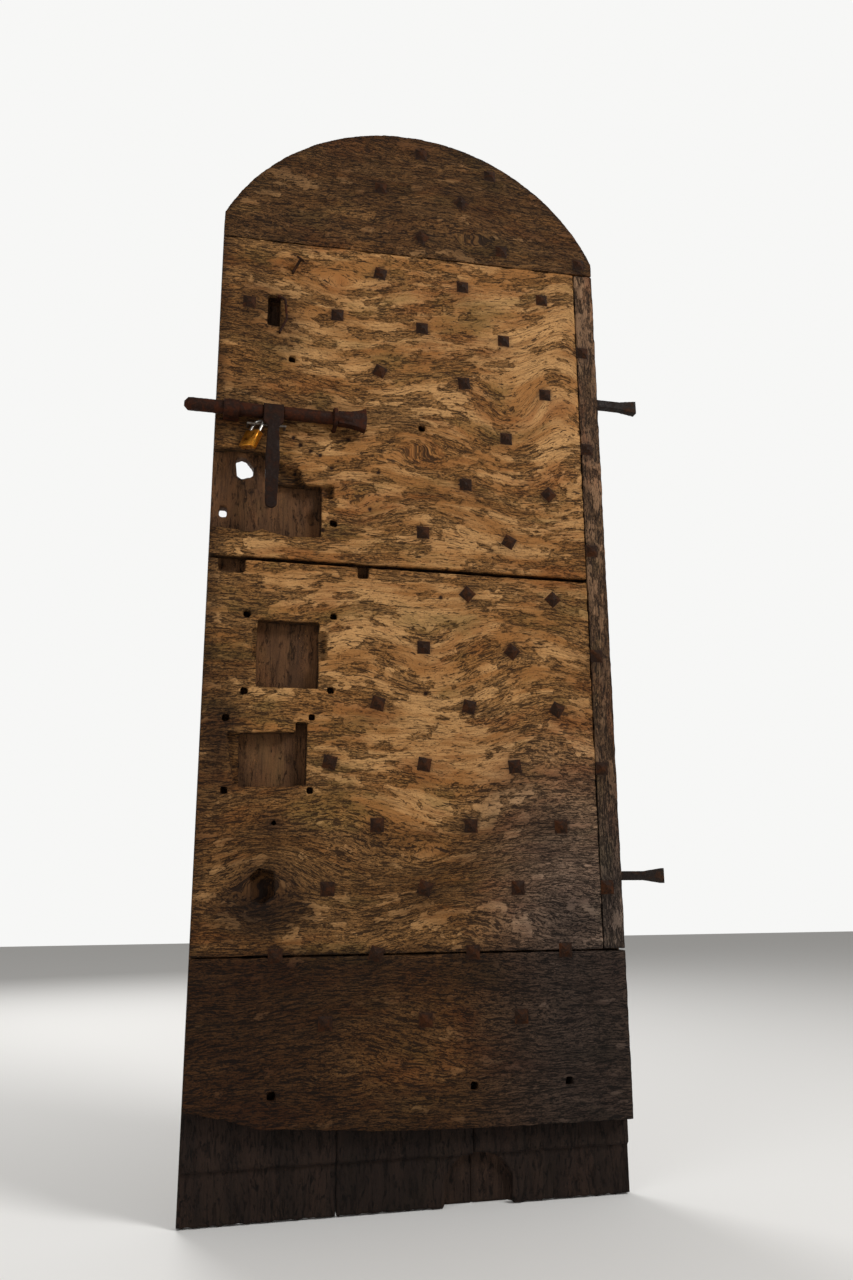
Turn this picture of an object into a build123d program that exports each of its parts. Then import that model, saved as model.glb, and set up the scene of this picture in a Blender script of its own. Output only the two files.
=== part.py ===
from build123d import *
from math import cos, radians, sin, sqrt
import os

# An arched oak door leaf of two layers, level boards over upright planks, clenched together
# with square nails. It hangs on two pintles and carries a sliding bolt, a hasp and a padlock.
# Millimetres, +Z up. The hinge line is x = 0, y = 0 and the lower hinge eye stands on z = 0.
# The front of the leaf looks along -Y, the closing edge is towards -X, and the leaf opens
# towards +Y.

# Leaf
leaf_width = 800.0
leaf_height = 2140.0
arch_rise = 252.6
board_thickness = 30.0
plank_thickness = 28.0
leaf_to_hinge_line = 8.0

# Seams of the front layer: the top one below the crown, the others above the foot
top_seam_drop_closing = 309.0
top_seam_drop_hinge = 285.0
top_seam_gap = 1.5
middle_seam_height = 1150.0
middle_seam_gap = 7.0
lower_seam_height = 427.0
lower_seam_gap = 2.0
strip_width = 43.0
strip_gap = 1.5

# The worn lower edge of the bottom board, as (distance from the closing edge, height)
worn_edge = [(59, 171), (128, 150), (211, 146), (331, 137), (454, 133)]
worn_edge_closing = 184.0
worn_edge_hinge = 131.0

# Back planks: distance of each joint from the closing edge, at the foot and at the head
closing_joint_foot = 263.0
closing_joint_head = 245.0
hinge_joint_foot = 504.0
hinge_joint_head = 530.0
plank_gap = 1.5
rotten_foot_height = 84.0
rotten_foot_depth = 7.0
rot_hollow_centre = 515.0
rot_hollow_width = 125.0
rot_hollow_height = 88.0
rot_hollow_skin = 5.0
foot_split_at = 397.0
foot_split_width = 3.0
foot_split_depth = 12.0
foot_split_height = 150.0

# Nails, in columns numbered from 0 and rows numbered upwards from the one on the lower seam
first_column = 145.0
last_column = 7
last_column_margin = 32.0
middle_column = 3
bottom_row_step = 112.7
lower_row_count = 6
lower_row_margin = 48.4
upper_row_count = 6
upper_row_foot_margin = 73.1
upper_row_head_margin = 56.4
upper_row_fall = 3.0
head_row_margin = 47.1
head_row_step = 103.5
nail_shank = 6.0
nail_clearance = 0.1
nail_head = 27.0
nail_head_edge = 1.5
nail_head_rise = 8.0
nail_head_flat = 5.4
clench_length = 26.0
clench_tip = 2.0
lost_nail_mouth = 13.0

# Cut-outs for lost fittings, as distances from the closing edge and heights above the foot
lock_cavity = [(0, 1207), (78, 1200), (97, 1207), (146, 1195), (210, 1200), (210, 1305),
               (122, 1305), (110, 1352), (91, 1367), (49, 1371), (0, 1366)]
lock_slope = [(122, 1305), (176, 1305), (166, 1332), (142, 1338), (132, 1348), (110, 1352)]
lock_slope_depth = 13.0
lock_ledge = (210, 1280, 233, 1307)
light_hole = [(43, 1358), (55, 1363), (64, 1362), (79, 1344), (79, 1325), (57, 1317), (47, 1322)]
small_light_hole = (16, 1236, 31, 1257)
pocket_one = (96, 901, 210, 1028)
pocket_one_ledges = [(87, 956, 96, 1010), (210, 956, 225, 1010)]
pocket_two = [(69, 815), (171, 819), (171, 837), (192, 837), (192, 722), (73, 717)]
pocket_two_ledge = [(47, 815), (69, 815), (73, 717), (62, 722)]
ledge_depth = 11.0
seam_notch = (19, 1118, 68, 1151)
nail_notch = (283, 304)
nail_notch_drop = 22.0
key_slot_in_plank = 18.0
rotten_knot = [(97, 560), (112, 576), (138, 569), (141, 530), (120, 513), (102, 522)]
rotten_knot_depth = 22.0
fixing_holes = [(75, 1038), (237, 1042), (75, 892), (234, 899),
                (44, 842), (200, 847), (46, 711), (199, 713)]
fixing_hole_width = 12.0
small_holes = [(136, 654), (228, 1347), (782, 1284)]
small_hole_width = 7.0

# Key slot for a lost lock, as distances from the closing edge and heights above the bolt
key_slot = (94, 201, 118, 268)

# Strap hinges and pintles
rows_under_strap = (1, 10)
strap_length = 640.0
strap_root = 50.0
strap_end = 34.0
strap_thickness = 6.0
strap_point = 46.0
pin_radius = 10.0
pin_clearance = 0.08
eye_wall = 5.9
seat_gap = 0.3
pin_above_eye = 9.0
pin_dome = 4.0
pintle_shoulder = 22.0
tang_size = 18.0
tang_length = 112.0
tang_spread = 30.0
tang_spread_length = 40.0
strap_nail_count = 4
strap_nail_inset = 50.0
strap_nail_bite = 40.0
strap_nail_head = 17.0
strap_nail_rise = 5.0
strap_nail_flat = 3.4

# Bolt and its guides
bolt_height = 1440.0
bolt_diameter = 26.5
bolt_standoff = 5.5
bolt_reach = 60.0
bolt_tip_taper = 8.0
flare_start = 236.0
flare_length = 57.0
flare_height = 47.0
flare_thickness = 20.0
neck_depth = 2.0
guide_clearance = 0.3
broad_guide_at = 29.0
broad_guide_width = 30.0
broad_guide_wall = 4.0
narrow_guide_width = 8.0
narrow_guide_wall = 7.0
narrow_guide_space = 1.5
guide_bite = 24.0

# Hasp
hasp_at = 109.5
hasp_eye_width = 39.0
hasp_eye_wall = 5.0
hasp_thickness = 6.0
hasp_side_clearance = 0.3
hasp_length = 203.0
hasp_widths = [(26, 39), (35, 22), (100, 28), (170, 24), (195, 22)]

# Padlock and its staple
staple_height = 1414.0
staple_from = 62.0
staple_to = 133.0
staple_wire = 5.0
staple_standoff = 15.0
staple_bite = 22.0
shackle_wire = 6.0
bow_sides = 10
shackle_span = 24.0
shackle_leg = 14.0
shackle_heel_depth = 26.0
shackle_toe_depth = 9.0
shackle_at = 80.0
leg_clearance = 0.1
leg_bore_spare = 1.0
padlock_width = 35.0
padlock_body_height = 38.0
padlock_thickness = 14.0
padlock_edge = 1.5
padlock_turn = 42.0
padlock_lean = 12.0
padlock_swing_out = 18.0
plug_radius = 6.0
plug_length = 22.0
plug_clearance = 0.1
keyway_width = 2.0
keyway_height = 7.5
keyway_depth = 6.0

# Bent nail, below the top seam, and bent rod, with heights above the bolt
bent_nail_distance = 141.0
bent_nail_drop = 67.0
bent_nail_rise = 22.0
bent_nail_run = 13.0
bent_nail_out = 16.0
bent_nail_head = 16.0
rod_wire = 5.0
rod_route = [(114, 263), (127, 257), (131, 215), (118, 184)]
rod_standoff = 5.0
rod_bite = 15.0

# Places worked out from the sizes above
top_seam_closing = leaf_height - top_seam_drop_closing
top_seam_hinge = leaf_height - top_seam_drop_hinge
top_seam_middle = (top_seam_closing + top_seam_hinge) / 2
bent_nail_at = (bent_nail_distance, top_seam_closing - bent_nail_drop)
nail_pitch = (leaf_width - last_column_margin - first_column) / last_column
leaf_right = -leaf_to_hinge_line
leaf_left = leaf_right - leaf_width
eye_radius = pin_radius + pin_clearance + eye_wall
back_face = -eye_radius
plank_front = back_face - plank_thickness
front_face = plank_front - board_thickness
bolt_y = front_face - bolt_standoff - bolt_diameter / 2
neck_radius = bolt_diameter / 2 - neck_depth
hasp_bore = neck_radius + pin_clearance
hasp_eye_radius = hasp_bore + hasp_eye_wall
past = 5.0


def row_height(row):
    """rows divide the boards evenly, from seam to seam"""
    upper_first = lower_row_count + 1
    head_first = upper_first + upper_row_count
    if row <= 0:
        return lower_seam_height + row * bottom_row_step
    if row < upper_first:
        run = middle_seam_height - lower_row_margin - lower_seam_height
        return lower_seam_height + run * row / lower_row_count
    if row < head_first:
        foot = middle_seam_height + upper_row_foot_margin
        run = top_seam_middle - upper_row_head_margin - foot
        return foot + run * (row - upper_first) / (upper_row_count - 1)
    return top_seam_middle + head_row_margin + (row - head_first) * head_row_step


def strap_height(row):
    """a strap lies midway between two rows of clenched nails"""
    return (row_height(row) + row_height(row + 1)) / 2


leaf_foot = strap_root / 2 - strap_height(rows_under_strap[0])
bolt_z = leaf_foot + bolt_height


def across(distance):
    """x at a distance from the closing edge"""
    return leaf_left + distance


def up(height):
    """z at a height above the foot of the leaf"""
    return leaf_foot + height


def nail_place(column, row):
    """x and z of a nail; the rows of the upper boards fall towards the hinges"""
    height = row_height(row)
    if height > middle_seam_height:
        height -= upper_row_fall * (column - middle_column)
    return across(first_column + column * nail_pitch), up(height)


def slab(points, front, back):
    """an outline of (x, z) points, as a solid from y = front to y = back"""
    outline = make_face(Polyline(*[(x, z) for x, z in points], close=True))
    return extrude(Plane((0, front, 0), x_dir=(1, 0, 0), z_dir=(0, -1, 0)) * outline, front - back)


def leaf_slab(points, front, back):
    """the same, from points given as (distance from the closing edge, height above the foot)"""
    return slab([(across(d), up(h)) for d, h in points], front, back)


def leaf_box(corners, front, back):
    """a box through the leaf, from its lowest and highest distance and height"""
    d0, h0, d1, h1 = corners
    return leaf_slab([(d0, h0), (d1, h0), (d1, h1), (d0, h1)], front, back)


def square_hole(x, z, width, front, back):
    return slab([(x - width / 2, z - width / 2), (x + width / 2, z - width / 2),
                 (x + width / 2, z + width / 2), (x - width / 2, z + width / 2)], front, back)


def arched_layer(front, back):
    """the whole outline of the leaf, one layer thick"""
    middle = across(leaf_width / 2)
    crown = up(leaf_height)
    spring = crown - arch_rise
    sides = Polyline((leaf_left, spring), (leaf_left, leaf_foot), (leaf_right, leaf_foot),
                     (leaf_right, spring))
    head = ThreePointArc((leaf_right, spring), (middle, crown), (leaf_left, spring))
    outline = make_face(sides + head)
    return extrude(Plane((0, front, 0), x_dir=(1, 0, 0), z_dir=(0, -1, 0)) * outline, front - back)


# Nails, as (column, row) places
head_nails = [(3, 15), (4.75, 14.8), (2, 14), (4, 14), (3, 13), (5, 13), (7, 13)]
upper_nails = [(2, 12), (4, 12), (6, 12), (-1, 11), (1, 11), (3, 11), (5, 11), (2, 10), (4, 10),
               (6, 10), (5, 9), (4, 8), (6, 8), (3, 7), (5, 7)]
lower_nails = [(4, 6), (6, 6), (3, 5), (5, 5), (2, 4), (4, 4), (6, 4), (1, 3), (3, 3), (5, 3),
               (2, 2), (4, 2), (6, 2), (1, 1), (3, 1), (5, 1)]
seam_nails = [(0, 0), (2, 0), (4, 0), (6, 0)]
bottom_nails = [(1, -1), (3, -1), (5, -1)]
strip_nails = [(7, 11), (7, 9), (7, 7), (7, 5), (7, 3), (7, 1)]
lost_nails = [(0, 10), (3, 9), (1, 7), (0, -2), (4, -2), (6, -2)]

# Heads driven askew, as degrees of turn; the others sit square
head_turns = {(6, 8): 45, (6, 6): 45, (4, 6): 40, (5, 5): 38, (5, 7): 28, (3, 1): 20,
              (2, 4): 14, (4, 4): 12, (1, 3): 12, (3, 3): 10, (6, 4): 33, (2, 12): 12, (4, 10): -6,
              (2, 10): 24, (5, 3): -6, (0, 12): 16, (4, 14): 40, (3, 13): 35, (2, 0): 18}
all_nails = head_nails + upper_nails + lower_nails + seam_nails + bottom_nails + strip_nails


def nail_holes():
    """every hole that a nail fills, or that a lost nail left"""
    hole = nail_shank + 2 * nail_clearance
    cuts = []
    for column, row in all_nails + lost_nails:
        x, z = nail_place(column, row)
        cuts.append(square_hole(x, z, hole, front_face - past, back_face + past))
    for column, row in lost_nails:
        x, z = nail_place(column, row)
        cuts.append(square_hole(x, z, lost_nail_mouth, front_face - past, plank_front))
    return cuts


def fixing_cuts():
    """holes of lost lock and latch fittings"""
    near, low, far, high = key_slot
    cuts = [leaf_box((near, bolt_height + low, far, bolt_height + high),
                     front_face - past, plank_front + key_slot_in_plank)]
    for distance, height in fixing_holes:
        cuts.append(square_hole(across(distance), up(height), fixing_hole_width,
                                front_face - past, plank_front))
    for distance, height in small_holes:
        cuts.append(square_hole(across(distance), up(height), small_hole_width,
                                front_face - past, plank_front - ledge_depth))
    return cuts


def hardware_cuts():
    """seats in the wood for the legs of the staples, the bent nail and the bent rod"""
    cuts = guide_legs(guide_clearance / 2) + staple_legs(nail_clearance) + rod_seats()
    x, z = across(bent_nail_at[0]), up(bent_nail_at[1])
    hole = nail_shank + 2 * nail_clearance
    cuts.append(square_hole(x, z, hole, front_face - past, plank_front))
    return cuts


# Front boards
def top_seam(distance):
    return top_seam_closing + (top_seam_hinge - top_seam_closing) * distance / leaf_width


def head_board():
    seam = [(-past, top_seam(-past) + top_seam_gap / 2),
            (leaf_width + past, top_seam(leaf_width + past) + top_seam_gap / 2),
            (leaf_width + past, leaf_height + past), (-past, leaf_height + past)]
    return front_layer & leaf_slab(seam, front_face, plank_front)


def upper_board():
    side = leaf_width - strip_width - strip_gap
    outline = [(-past, middle_seam_height), (side, middle_seam_height),
               (side, top_seam(side) - top_seam_gap / 2), (-past, top_seam(-past) - top_seam_gap / 2)]
    board = front_layer & leaf_slab(outline, front_face, plank_front)
    board -= leaf_slab(lock_cavity, front_face - past, plank_front)
    board -= leaf_slab(lock_slope, front_face - past, front_face + lock_slope_depth)
    board -= leaf_box(lock_ledge, front_face - past, front_face + ledge_depth)
    return board


def lower_board():
    side = leaf_width - strip_width - strip_gap
    head = middle_seam_height - middle_seam_gap
    board = leaf_box((0, lower_seam_height, side, head), front_face, plank_front)
    board -= leaf_box(seam_notch, front_face - past, plank_front)
    nail_notch_box = (nail_notch[0], head - nail_notch_drop, nail_notch[1], head + past)
    board -= leaf_box(nail_notch_box, front_face - past, plank_front)
    board -= leaf_box(pocket_one, front_face - past, plank_front)
    for ledge in pocket_one_ledges:
        board -= leaf_box(ledge, front_face - past, front_face + ledge_depth)
    board -= leaf_slab(pocket_two, front_face - past, plank_front)
    board -= leaf_slab(pocket_two_ledge, front_face - past, front_face + ledge_depth)
    board -= leaf_slab(rotten_knot, front_face - past, front_face + rotten_knot_depth)
    return board


def bottom_board():
    head = lower_seam_height - lower_seam_gap
    outline = [(0, worn_edge_closing)] + worn_edge + [(leaf_width, worn_edge_hinge),
                                                      (leaf_width, head), (0, head)]
    return leaf_slab(outline, front_face, plank_front)


def edge_strip():
    near = leaf_width - strip_width
    outline = [(near, lower_seam_height), (leaf_width, lower_seam_height),
               (leaf_width, top_seam(leaf_width) - top_seam_gap / 2),
               (near, top_seam(near) - top_seam_gap / 2)]
    return leaf_slab(outline, front_face, plank_front)


# Back planks
def plank(near_foot, near_head, far_foot, far_head):
    outline = [(near_foot, 0), (far_foot, 0), (far_head, leaf_height), (near_head, leaf_height)]
    board = back_layer & leaf_slab(outline, plank_front, back_face)
    board -= leaf_box((-past, -past, leaf_width + past, rotten_foot_height),
                      plank_front - past, plank_front + rotten_foot_depth)
    board -= rot_hollow()
    board -= leaf_slab(light_hole, plank_front, back_face + past)
    board -= leaf_box(small_light_hole, plank_front, back_face + past)
    board -= leaf_box((foot_split_at, -past, foot_split_at + foot_split_width, foot_split_height),
                      plank_front - past, plank_front + foot_split_depth)
    return board


def rot_hollow():
    """a hollow rotted up from the foot, with an arched head and a thin skin left at the back"""
    half = rot_hollow_width / 2
    x, z = across(rot_hollow_centre), leaf_foot
    shoulder = rot_hollow_height / 2
    sides = Polyline((x - half, z + shoulder), (x - half, z - past), (x + half, z - past),
                     (x + half, z + shoulder))
    head = ThreePointArc((x + half, z + shoulder), (x, z + rot_hollow_height),
                         (x - half, z + shoulder))
    front = Plane((0, plank_front - past, 0), x_dir=(1, 0, 0), z_dir=(0, -1, 0))
    return extrude(front * make_face(sides + head), -(plank_thickness + past - rot_hollow_skin))


# Nails
def clench_nail(column, row):
    """a hammered head on the boards, a square shank, and a tip bent over on the planks"""
    x, z = nail_place(column, row)
    half = nail_shank / 2
    outline = Polyline((x - half, front_face), (x + half, front_face), (x + half, back_face),
                       (x + half + clench_length, back_face),
                       (x + half + clench_length, back_face + clench_tip),
                       (x - half, back_face + nail_shank - clench_tip), close=True)
    shank = extrude(Plane.XY.offset(z - half) * make_face(outline), nail_shank)
    turn = head_turns.get((column, row), 0)
    return shank + nail_head_solid(x, front_face, z, nail_head, nail_head_rise, nail_head_flat, turn, -1)


def nail_head_solid(x, y, z, width, rise, flat, turn, side):
    """a low square pyramid with a thin edge, standing off the face at y"""
    rest = (Align.CENTER, Align.MIN, Align.CENTER)
    near, far = (width - flat) / 2, (width + flat) / 2
    edge = Box(width, nail_head_edge, width, align=rest)
    crown = Wedge(width, rise - nail_head_edge, width, near, near, far, far, align=rest)
    head = edge + Pos(0, nail_head_edge, 0) * crown
    facing = Rot(0, 0, 180) if side < 0 else Rot(0, 0, 0)
    return Pos(x, y, z) * Rot(0, turn, 0) * facing * head


def nail_group(places):
    return Compound([clench_nail(column, row) for column, row in places])


def bent_nail():
    """a nail half drawn and knocked over"""
    x, z = across(bent_nail_at[0]), up(bent_nail_at[1])
    foot = Vector(x, plank_front - seat_gap, z)
    mouth = Vector(x, front_face - nail_shank / 2, z)
    tip = Vector(x + bent_nail_run, front_face - bent_nail_out, z + bent_nail_rise)
    shank = bent_wire([foot, mouth, tip], nail_shank / 2)
    along = (tip - mouth).normalized()
    head = Plane(tip, z_dir=along)
    disc = extrude(head * Rectangle(bent_nail_head, bent_nail_head), 2 * nail_head_edge)
    return shank + disc


def bent_wire(points, radius):
    """a round wire along straight runs, with a sharp mitre at each bend"""
    start = Plane(points[0], z_dir=points[1] - points[0])
    return sweep(start * Circle(radius), path=Polyline(*points), transition=Transition.RIGHT)


def rod_points():
    """the rod's route: out of the wood, along the face of the board and into it again"""
    out, inside = front_face - rod_standoff, front_face + rod_bite
    route = [Vector(across(d), out, bolt_z + h) for d, h in rod_route]
    first, last = route[0], route[-1]
    return [Vector(first.X, inside, first.Z)] + route + [Vector(last.X, inside, last.Z)]


def rod_seats():
    """holes for the two ends of the rod"""
    points = rod_points()
    radius = rod_wire / 2 + nail_clearance
    depth = rod_bite + rod_standoff + nail_clearance
    return [extrude(Plane(point, z_dir=(0, 1, 0)) * Circle(radius), depth)
            for point in (points[1], points[-2])]


def bent_rod():
    return bent_wire(rod_points(), rod_wire / 2)


# Hinges
def strap_hinge(z):
    """a tapered strap with a pointed end and a rolled eye, nailed to the planks"""
    root, end = strap_root / 2, strap_end / 2
    tip = leaf_right - strap_length
    outline = [(0, z - root), (0, z + root), (tip + strap_point, z + end), (tip, z),
               (tip + strap_point, z - end)]
    strap = slab(outline, back_face, back_face + strap_thickness)
    eye = Plane((0, 0, z - root)) * Circle(eye_radius)
    bore = Plane((0, 0, z - root)) * Circle(pin_radius + pin_clearance)
    strap += extrude(eye, strap_root)
    strap -= extrude(bore, strap_root)
    for x in strap_nail_places():
        hole = nail_shank + 2 * nail_clearance
        strap -= square_hole(x, z, hole, back_face - past, back_face + 2 * strap_thickness)
    return strap


def strap_nail_places():
    run = strap_length - strap_point - 2 * strap_nail_inset
    first = leaf_right - strap_nail_inset
    return [first - run * index / (strap_nail_count - 1) for index in range(strap_nail_count)]


def strap_nail_holes():
    hole = nail_shank + 2 * nail_clearance
    front = back_face - strap_nail_bite - nail_clearance
    return [square_hole(x, z, hole, front, back_face + past)
            for z in strap_heights() for x in strap_nail_places()]


def strap_nails(z):
    nails = []
    outer = back_face + strap_thickness
    for x in strap_nail_places():
        shank = square_hole(x, z, nail_shank, back_face - strap_nail_bite, outer)
        head = nail_head_solid(x, outer, z, strap_nail_head, strap_nail_rise, strap_nail_flat, 0, 1)
        nails.append(shank + head)
    return Compound(nails)


def strap_heights():
    return [up(strap_height(row)) for row in rows_under_strap]


def pintle(z):
    """an upright pin on a square tang that is leaded into the jamb"""
    top = z - strap_root / 2 - seat_gap
    half = tang_size / 2
    block = Pos(0, 0, top - half) * Box(pintle_shoulder, pintle_shoulder, tang_size)
    spread_at = tang_length - tang_spread_length
    shaft = [(0, top - tang_size), (spread_at, top - tang_size),
             (tang_length, top - half - tang_spread / 2), (tang_length, top - half + tang_spread / 2),
             (spread_at, top), (0, top)]
    tang = slab(shaft, -half, half)
    height = seat_gap + strap_root + pin_above_eye
    pin = extrude(Plane((0, 0, top)) * Circle(pin_radius), height)
    pin = chamfer(pin.edges().sort_by(Axis.Z)[-1], pin_dome)
    return block + tang + pin


# Bolt, guides and hasp
def bolt_rod(start, end, radius):
    return extrude(Plane((across(start), bolt_y, bolt_z), z_dir=(1, 0, 0)) * Circle(radius),
                   end - start)


def bolt():
    radius = bolt_diameter / 2
    rod = bolt_rod(-bolt_reach, flare_start + flare_length / 2, radius)
    rod = chamfer(rod.edges().sort_by(Axis.X)[0], bolt_tip_taper)
    half_eye = hasp_eye_width / 2 + hasp_side_clearance
    sleeve = bolt_rod(hasp_at - half_eye, hasp_at + half_eye, radius + past)
    sleeve -= bolt_rod(hasp_at - half_eye, hasp_at + half_eye, neck_radius)
    rod -= sleeve
    return rod + bolt_flare()


def bolt_flare():
    """the forged fishtail that is pulled to draw the bolt"""
    radius = bolt_diameter / 2
    start, end = across(flare_start), across(flare_start + flare_length)
    spread = flare_height / 2
    middle = (start + end) / 2
    waist = radius + (spread - radius) / 4
    top = ThreePointArc((start, bolt_z + radius), (middle, bolt_z + waist),
                        (end - neck_depth, bolt_z + spread))
    bottom = ThreePointArc((end - neck_depth, bolt_z - spread), (middle, bolt_z - waist),
                           (start, bolt_z - radius))
    nose = ThreePointArc((end - neck_depth, bolt_z + spread), (end, bolt_z),
                         (end - neck_depth, bolt_z - spread))
    root = Line((start, bolt_z - radius), (start, bolt_z + radius))
    outline = make_face([top, nose, bottom, root])
    return extrude(Plane((0, bolt_y, 0), x_dir=(1, 0, 0), z_dir=(0, -1, 0)) * outline,
                   flare_thickness / 2, both=True)


def narrow_guide_at():
    return flare_start - narrow_guide_space - narrow_guide_width / 2


def guide_band(at, width, wall):
    """a band bent over the bolt, with both legs driven into the boards"""
    inner = bolt_diameter / 2 + guide_clearance
    outer = inner + wall
    x = across(at)
    section = Plane((x - width / 2, bolt_y, bolt_z), x_dir=(0, 1, 0), z_dir=(1, 0, 0))
    leg = front_face + guide_bite - bolt_y
    band = section * (Circle(outer) + Pos(leg / 2, 0) * Rectangle(leg, 2 * outer))
    space = section * (Circle(inner) + Pos(leg / 2 + past, 0) * Rectangle(leg + 2 * past, 2 * inner))
    return extrude(band - space, width)


def guide_legs(clearance):
    """the seats of both guides in the upper board"""
    legs = []
    inner = bolt_diameter / 2 + guide_clearance
    for at, width, wall in ((broad_guide_at, broad_guide_width, broad_guide_wall),
                            (narrow_guide_at(), narrow_guide_width, narrow_guide_wall)):
        for side in (-1, 1):
            z = bolt_z + side * (inner + wall / 2)
            half = wall / 2 + clearance
            x = across(at)
            reach = width / 2 + clearance
            legs.append(slab([(x - reach, z - half), (x + reach, z - half), (x + reach, z + half),
                              (x - reach, z + half)],
                             front_face - past, front_face + guide_bite + clearance))
    return legs


def hasp():
    """a strap hung from an eye that is wrapped round the neck of the bolt"""
    x = across(hasp_at)
    front = bolt_y - hasp_eye_radius
    right = [(x + width / 2, bolt_z - drop) for drop, width in hasp_widths]
    left = [(x - width / 2, bolt_z - drop) for drop, width in reversed(hasp_widths)]
    half = hasp_eye_width / 2
    tip = ThreePointArc(right[-1], (x, bolt_z - hasp_length), left[0])
    side = Polyline(left[0], *left[1:], (x - half, bolt_z), (x + half, bolt_z), *right)
    outline = make_face(side + tip)
    strap = extrude(Plane((0, front, 0), x_dir=(1, 0, 0), z_dir=(0, -1, 0)) * outline,
                    -hasp_thickness)
    plane = Plane((x - half, bolt_y, bolt_z), z_dir=(1, 0, 0))
    eye = extrude(plane * Circle(hasp_eye_radius), hasp_eye_width)
    bore = extrude(plane * Circle(hasp_bore), hasp_eye_width)
    return eye + strap - bore


# Padlock
def padlock_staple():
    """a wire staple behind the hasp, with both legs in the upper board"""
    out, inside = front_face - staple_standoff, front_face + staple_bite
    z = up(staple_height)
    line = [Vector(across(staple_from), inside, z), Vector(across(staple_from), out, z),
            Vector(across(staple_to), out, z), Vector(across(staple_to), inside, z)]
    return bent_wire(line, staple_wire / 2)


def staple_legs(clearance):
    legs = []
    for at in (staple_from, staple_to):
        base = Plane((across(at), front_face - past, up(staple_height)), z_dir=(0, 1, 0))
        reach = past + staple_bite + clearance
        legs.append(extrude(base * Circle(staple_wire / 2 + clearance), reach))
    return legs


def padlock_plane():
    """the middle of the shackle's bow; x runs across the padlock and y up along it"""
    turn, lean, swing = radians(padlock_turn), radians(padlock_lean), radians(padlock_swing_out)
    width = Vector(cos(turn), -sin(turn), 0)
    flat = Vector(-sin(turn), -cos(turn), 0)
    upright = Vector(0, 0, 1)
    along = upright * cos(swing) - flat * sin(swing)
    facing = flat * cos(swing) + upright * sin(swing)
    x_dir = width * cos(lean) - along * sin(lean)
    place = Plane((0, 0, 0), x_dir=x_dir, z_dir=facing)
    # the bow bears on the staple's wire, square to where the wire slants through the bow
    across_wire = (place.y_dir * place.x_dir.X - place.x_dir * place.y_dir.X).normalized()
    wire = Vector(across(shackle_at), front_face - staple_standoff, up(staple_height))
    return Plane(wire - across_wire * bow_drop(abs(facing.X)), x_dir=x_dir, z_dir=facing)


def bow_drop(slant):
    """how far the bow's middle hangs from the wire, which cuts its plane as a slanted ellipse"""
    bow = shackle_span / 2
    short = shackle_wire / 2 + staple_wire / 2 + seat_gap
    long = short / slant
    touching = sqrt((bow ** 2 - long ** 2) * (long ** 2 - short ** 2)) / long
    return min(touching, bow - short)


def padlock_point(x, y, z=0.0):
    return padlock_plane().from_local_coords(Vector(x, y, z))


def shackle_part(start, end, radius, side):
    """one leg of the shackle, from a height to a lower one"""
    place = padlock_plane()
    base = Plane(padlock_point(side * shackle_span / 2, start), z_dir=-place.y_dir)
    return extrude(base * Circle(radius), start - end)


def padlock_shackle():
    place = padlock_plane()
    start = Plane(padlock_point(-shackle_span / 2, 0), z_dir=place.y_dir)
    section = start * RegularPolygon(shackle_wire / 2, bow_sides)
    hoop = revolve(section, Axis(place.origin, -place.z_dir), 180)
    heel = shackle_part(0, -shackle_leg - shackle_heel_depth, shackle_wire / 2, -1)
    toe = shackle_part(0, -shackle_leg - shackle_toe_depth, shackle_wire / 2, 1)
    return hoop + heel + toe


def padlock_body():
    top = -shackle_leg
    base = Plane(padlock_point(0, top), x_dir=padlock_plane().x_dir, z_dir=-padlock_plane().y_dir)
    body = extrude(base * Rectangle(padlock_width, padlock_thickness), padlock_body_height)
    body = chamfer(body.edges(), padlock_edge)
    seat = shackle_wire / 2 + leg_clearance
    body -= shackle_part(top + past, top - shackle_heel_depth - leg_bore_spare, seat, -1)
    body -= shackle_part(top + past, top - shackle_toe_depth - leg_bore_spare, seat, 1)
    return body - plug_rod(plug_radius + plug_clearance, plug_length + plug_clearance, past)


def plug_rod(radius, length, beyond):
    bottom = -shackle_leg - padlock_body_height
    place = padlock_plane()
    base = Plane(padlock_point(0, bottom - beyond), x_dir=place.x_dir, z_dir=place.y_dir)
    return extrude(base * Circle(radius), length + beyond)


def padlock_plug():
    """the key plug, with a plain keyway in its face"""
    place = padlock_plane()
    bottom = -shackle_leg - padlock_body_height
    base = Plane(padlock_point(0, bottom), x_dir=place.x_dir, z_dir=place.y_dir)
    keyway = extrude(base * Rectangle(keyway_height, keyway_width), keyway_depth)
    return plug_rod(plug_radius, plug_length, 0) - keyway


def cut_all(solid, cutters):
    """take away the cutters that reach the solid, and leave the others out"""
    box = solid.bounding_box()
    near = [tool for tool in cutters if tool.bounding_box().min.X < box.max.X
            and tool.bounding_box().max.X > box.min.X and tool.bounding_box().min.Z < box.max.Z
            and tool.bounding_box().max.Z > box.min.Z and tool.bounding_box().min.Y < box.max.Y
            and tool.bounding_box().max.Y > box.min.Y]
    return solid - near if near else solid


front_layer = arched_layer(front_face, plank_front)
back_layer = arched_layer(plank_front, back_face)
cutters = nail_holes() + fixing_cuts() + hardware_cuts() + strap_nail_holes()
half_gap = plank_gap / 2

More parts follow.
